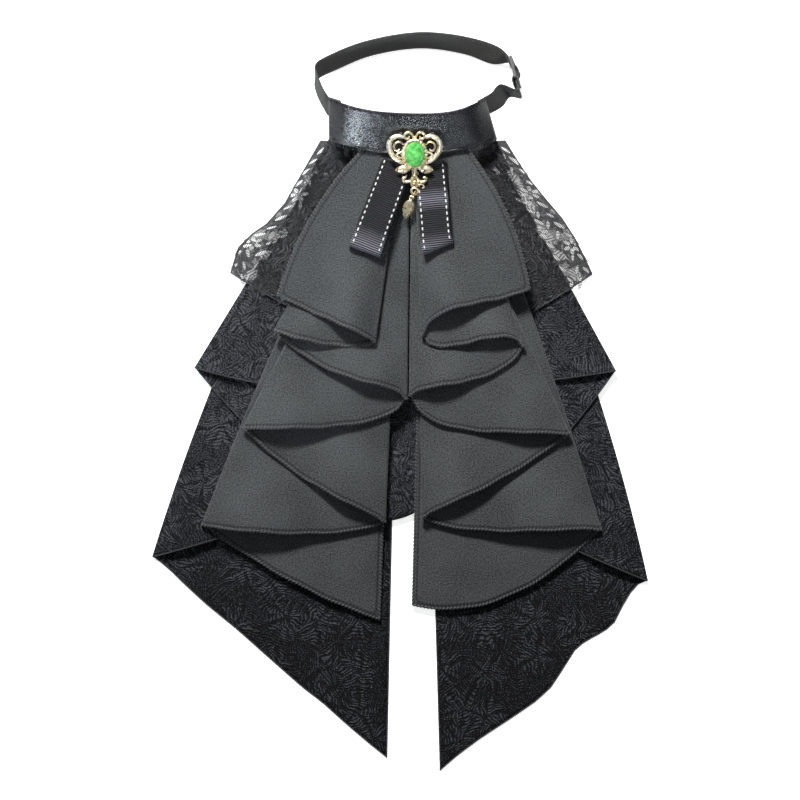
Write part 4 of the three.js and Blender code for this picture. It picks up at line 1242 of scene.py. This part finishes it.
drop = Parts()
rings = []
for share in np.linspace(0, 1, 22):
    half = 3.05 * math.sin(math.pi * share ** 0.8) ** 0.75 + 0.15
    y = -1.0 - 12.0 * share
    rings.append(np.array([
        (-half, y, 0), (-half * 0.8, y, 0.35), (-half * 0.4, y, 0.55), (0, y, 0.8),
        (half * 0.4, y, 0.55), (half * 0.8, y, 0.35), (half, y, 0), (half * 0.6, y, -0.6),
        (0, y, -0.7), (-half * 0.6, y, -0.6),
    ]))
drop.rings(rings)
drop.tube(ellipse(2.3, 2.3, 0, 20), 0.38, closed=True)
tilt = Matrix.Rotation(0.12, 4, "X") @ Matrix.Rotation(-0.3, 4, "Z")
drop.move(BROOCH @ Matrix.Translation(link_middle + hang) @ tilt)
belongs(drop.object("brooch_drop", GOLD), "brooch_metal", "brooch_pendant")

# Floor, light and camera
FLOOR_SIZE, FLOOR_GLOW = 6, 0.75
bpy.ops.mesh.primitive_plane_add(size=FLOOR_SIZE)
floor = bpy.context.object
floor.name = "floor"
paint = Nodes("floor_paint")
tone = paint.ramp(paint.noise(paint.place(), 3, 2), 0.2, 0.8, (0.86,) * 3, (0.88,) * 3)
white = paint.finish(tone, Specular_IOR_Level=0.1, Emission_Strength=FLOOR_GLOW)
floor.data.materials.append(white)


def area_light(name, place, target, size, power, color=(1, 1, 1), spread=180):
    light = bpy.data.lights.new(name, "AREA")
    light.shape = "RECTANGLE"
    light.size, light.size_y = size
    light.energy = power
    light.color = color
    light.spread = math.radians(spread)
    lamp = bpy.data.objects.new(name, light)
    lamp.location = place
    lamp.rotation_euler = (Vector(target) - Vector(place)).to_track_quat("-Z", "Y").to_euler()
    bpy.context.scene.collection.objects.link(lamp)


area_light("key", (-0.35, 1.45, 1.25), (0, 0, 0), (0.35, 0.3), 62)
area_light("fill", (0.25, 0.15, 2.2), (0, 0, 0), (1.6, 1.6), 3.9, (0.95, 0.98, 1))
SHEEN_TINT, SHEEN_SPREAD = (0.82, 0.92, 1), 14
area_light("collar_light", (-0.5, -0.72, 0.56), (-0.043, 0.162, 0.02), (0.16, 0.15), 0.12,
           SHEEN_TINT, SHEEN_SPREAD)
area_light("collar_light_right", (0.3, -0.77, 0.58), (0.05, 0.162, 0.02), (0.16, 0.15), 0.01,
           SHEEN_TINT, SHEEN_SPREAD)

world = bpy.data.worlds.new("studio")
world.use_nodes = True
sky = world.node_tree.nodes["Background"].inputs
sky["Color"].default_value = (0.95, 0.97, 1, 1)
sky["Strength"].default_value = 0.09
bpy.context.scene.world = world
bpy.context.scene.view_settings.view_transform = "Standard"

# The photo's 800 pixels at 1.75 to the millimetre, seen from straight above
CAMERA_HEIGHT, FOCUS_HEIGHT = 2.5, 0.008
FIELD = 0.8 / 1.75
camera_data = bpy.data.cameras.new("camera")
camera_data.lens = camera_data.sensor_width * (CAMERA_HEIGHT - FOCUS_HEIGHT) / FIELD
camera = bpy.data.objects.new("camera", camera_data)
camera.location = (-0.00003, 0.00097, CAMERA_HEIGHT)
bpy.context.scene.collection.objects.link(camera)
bpy.context.scene.camera = camera
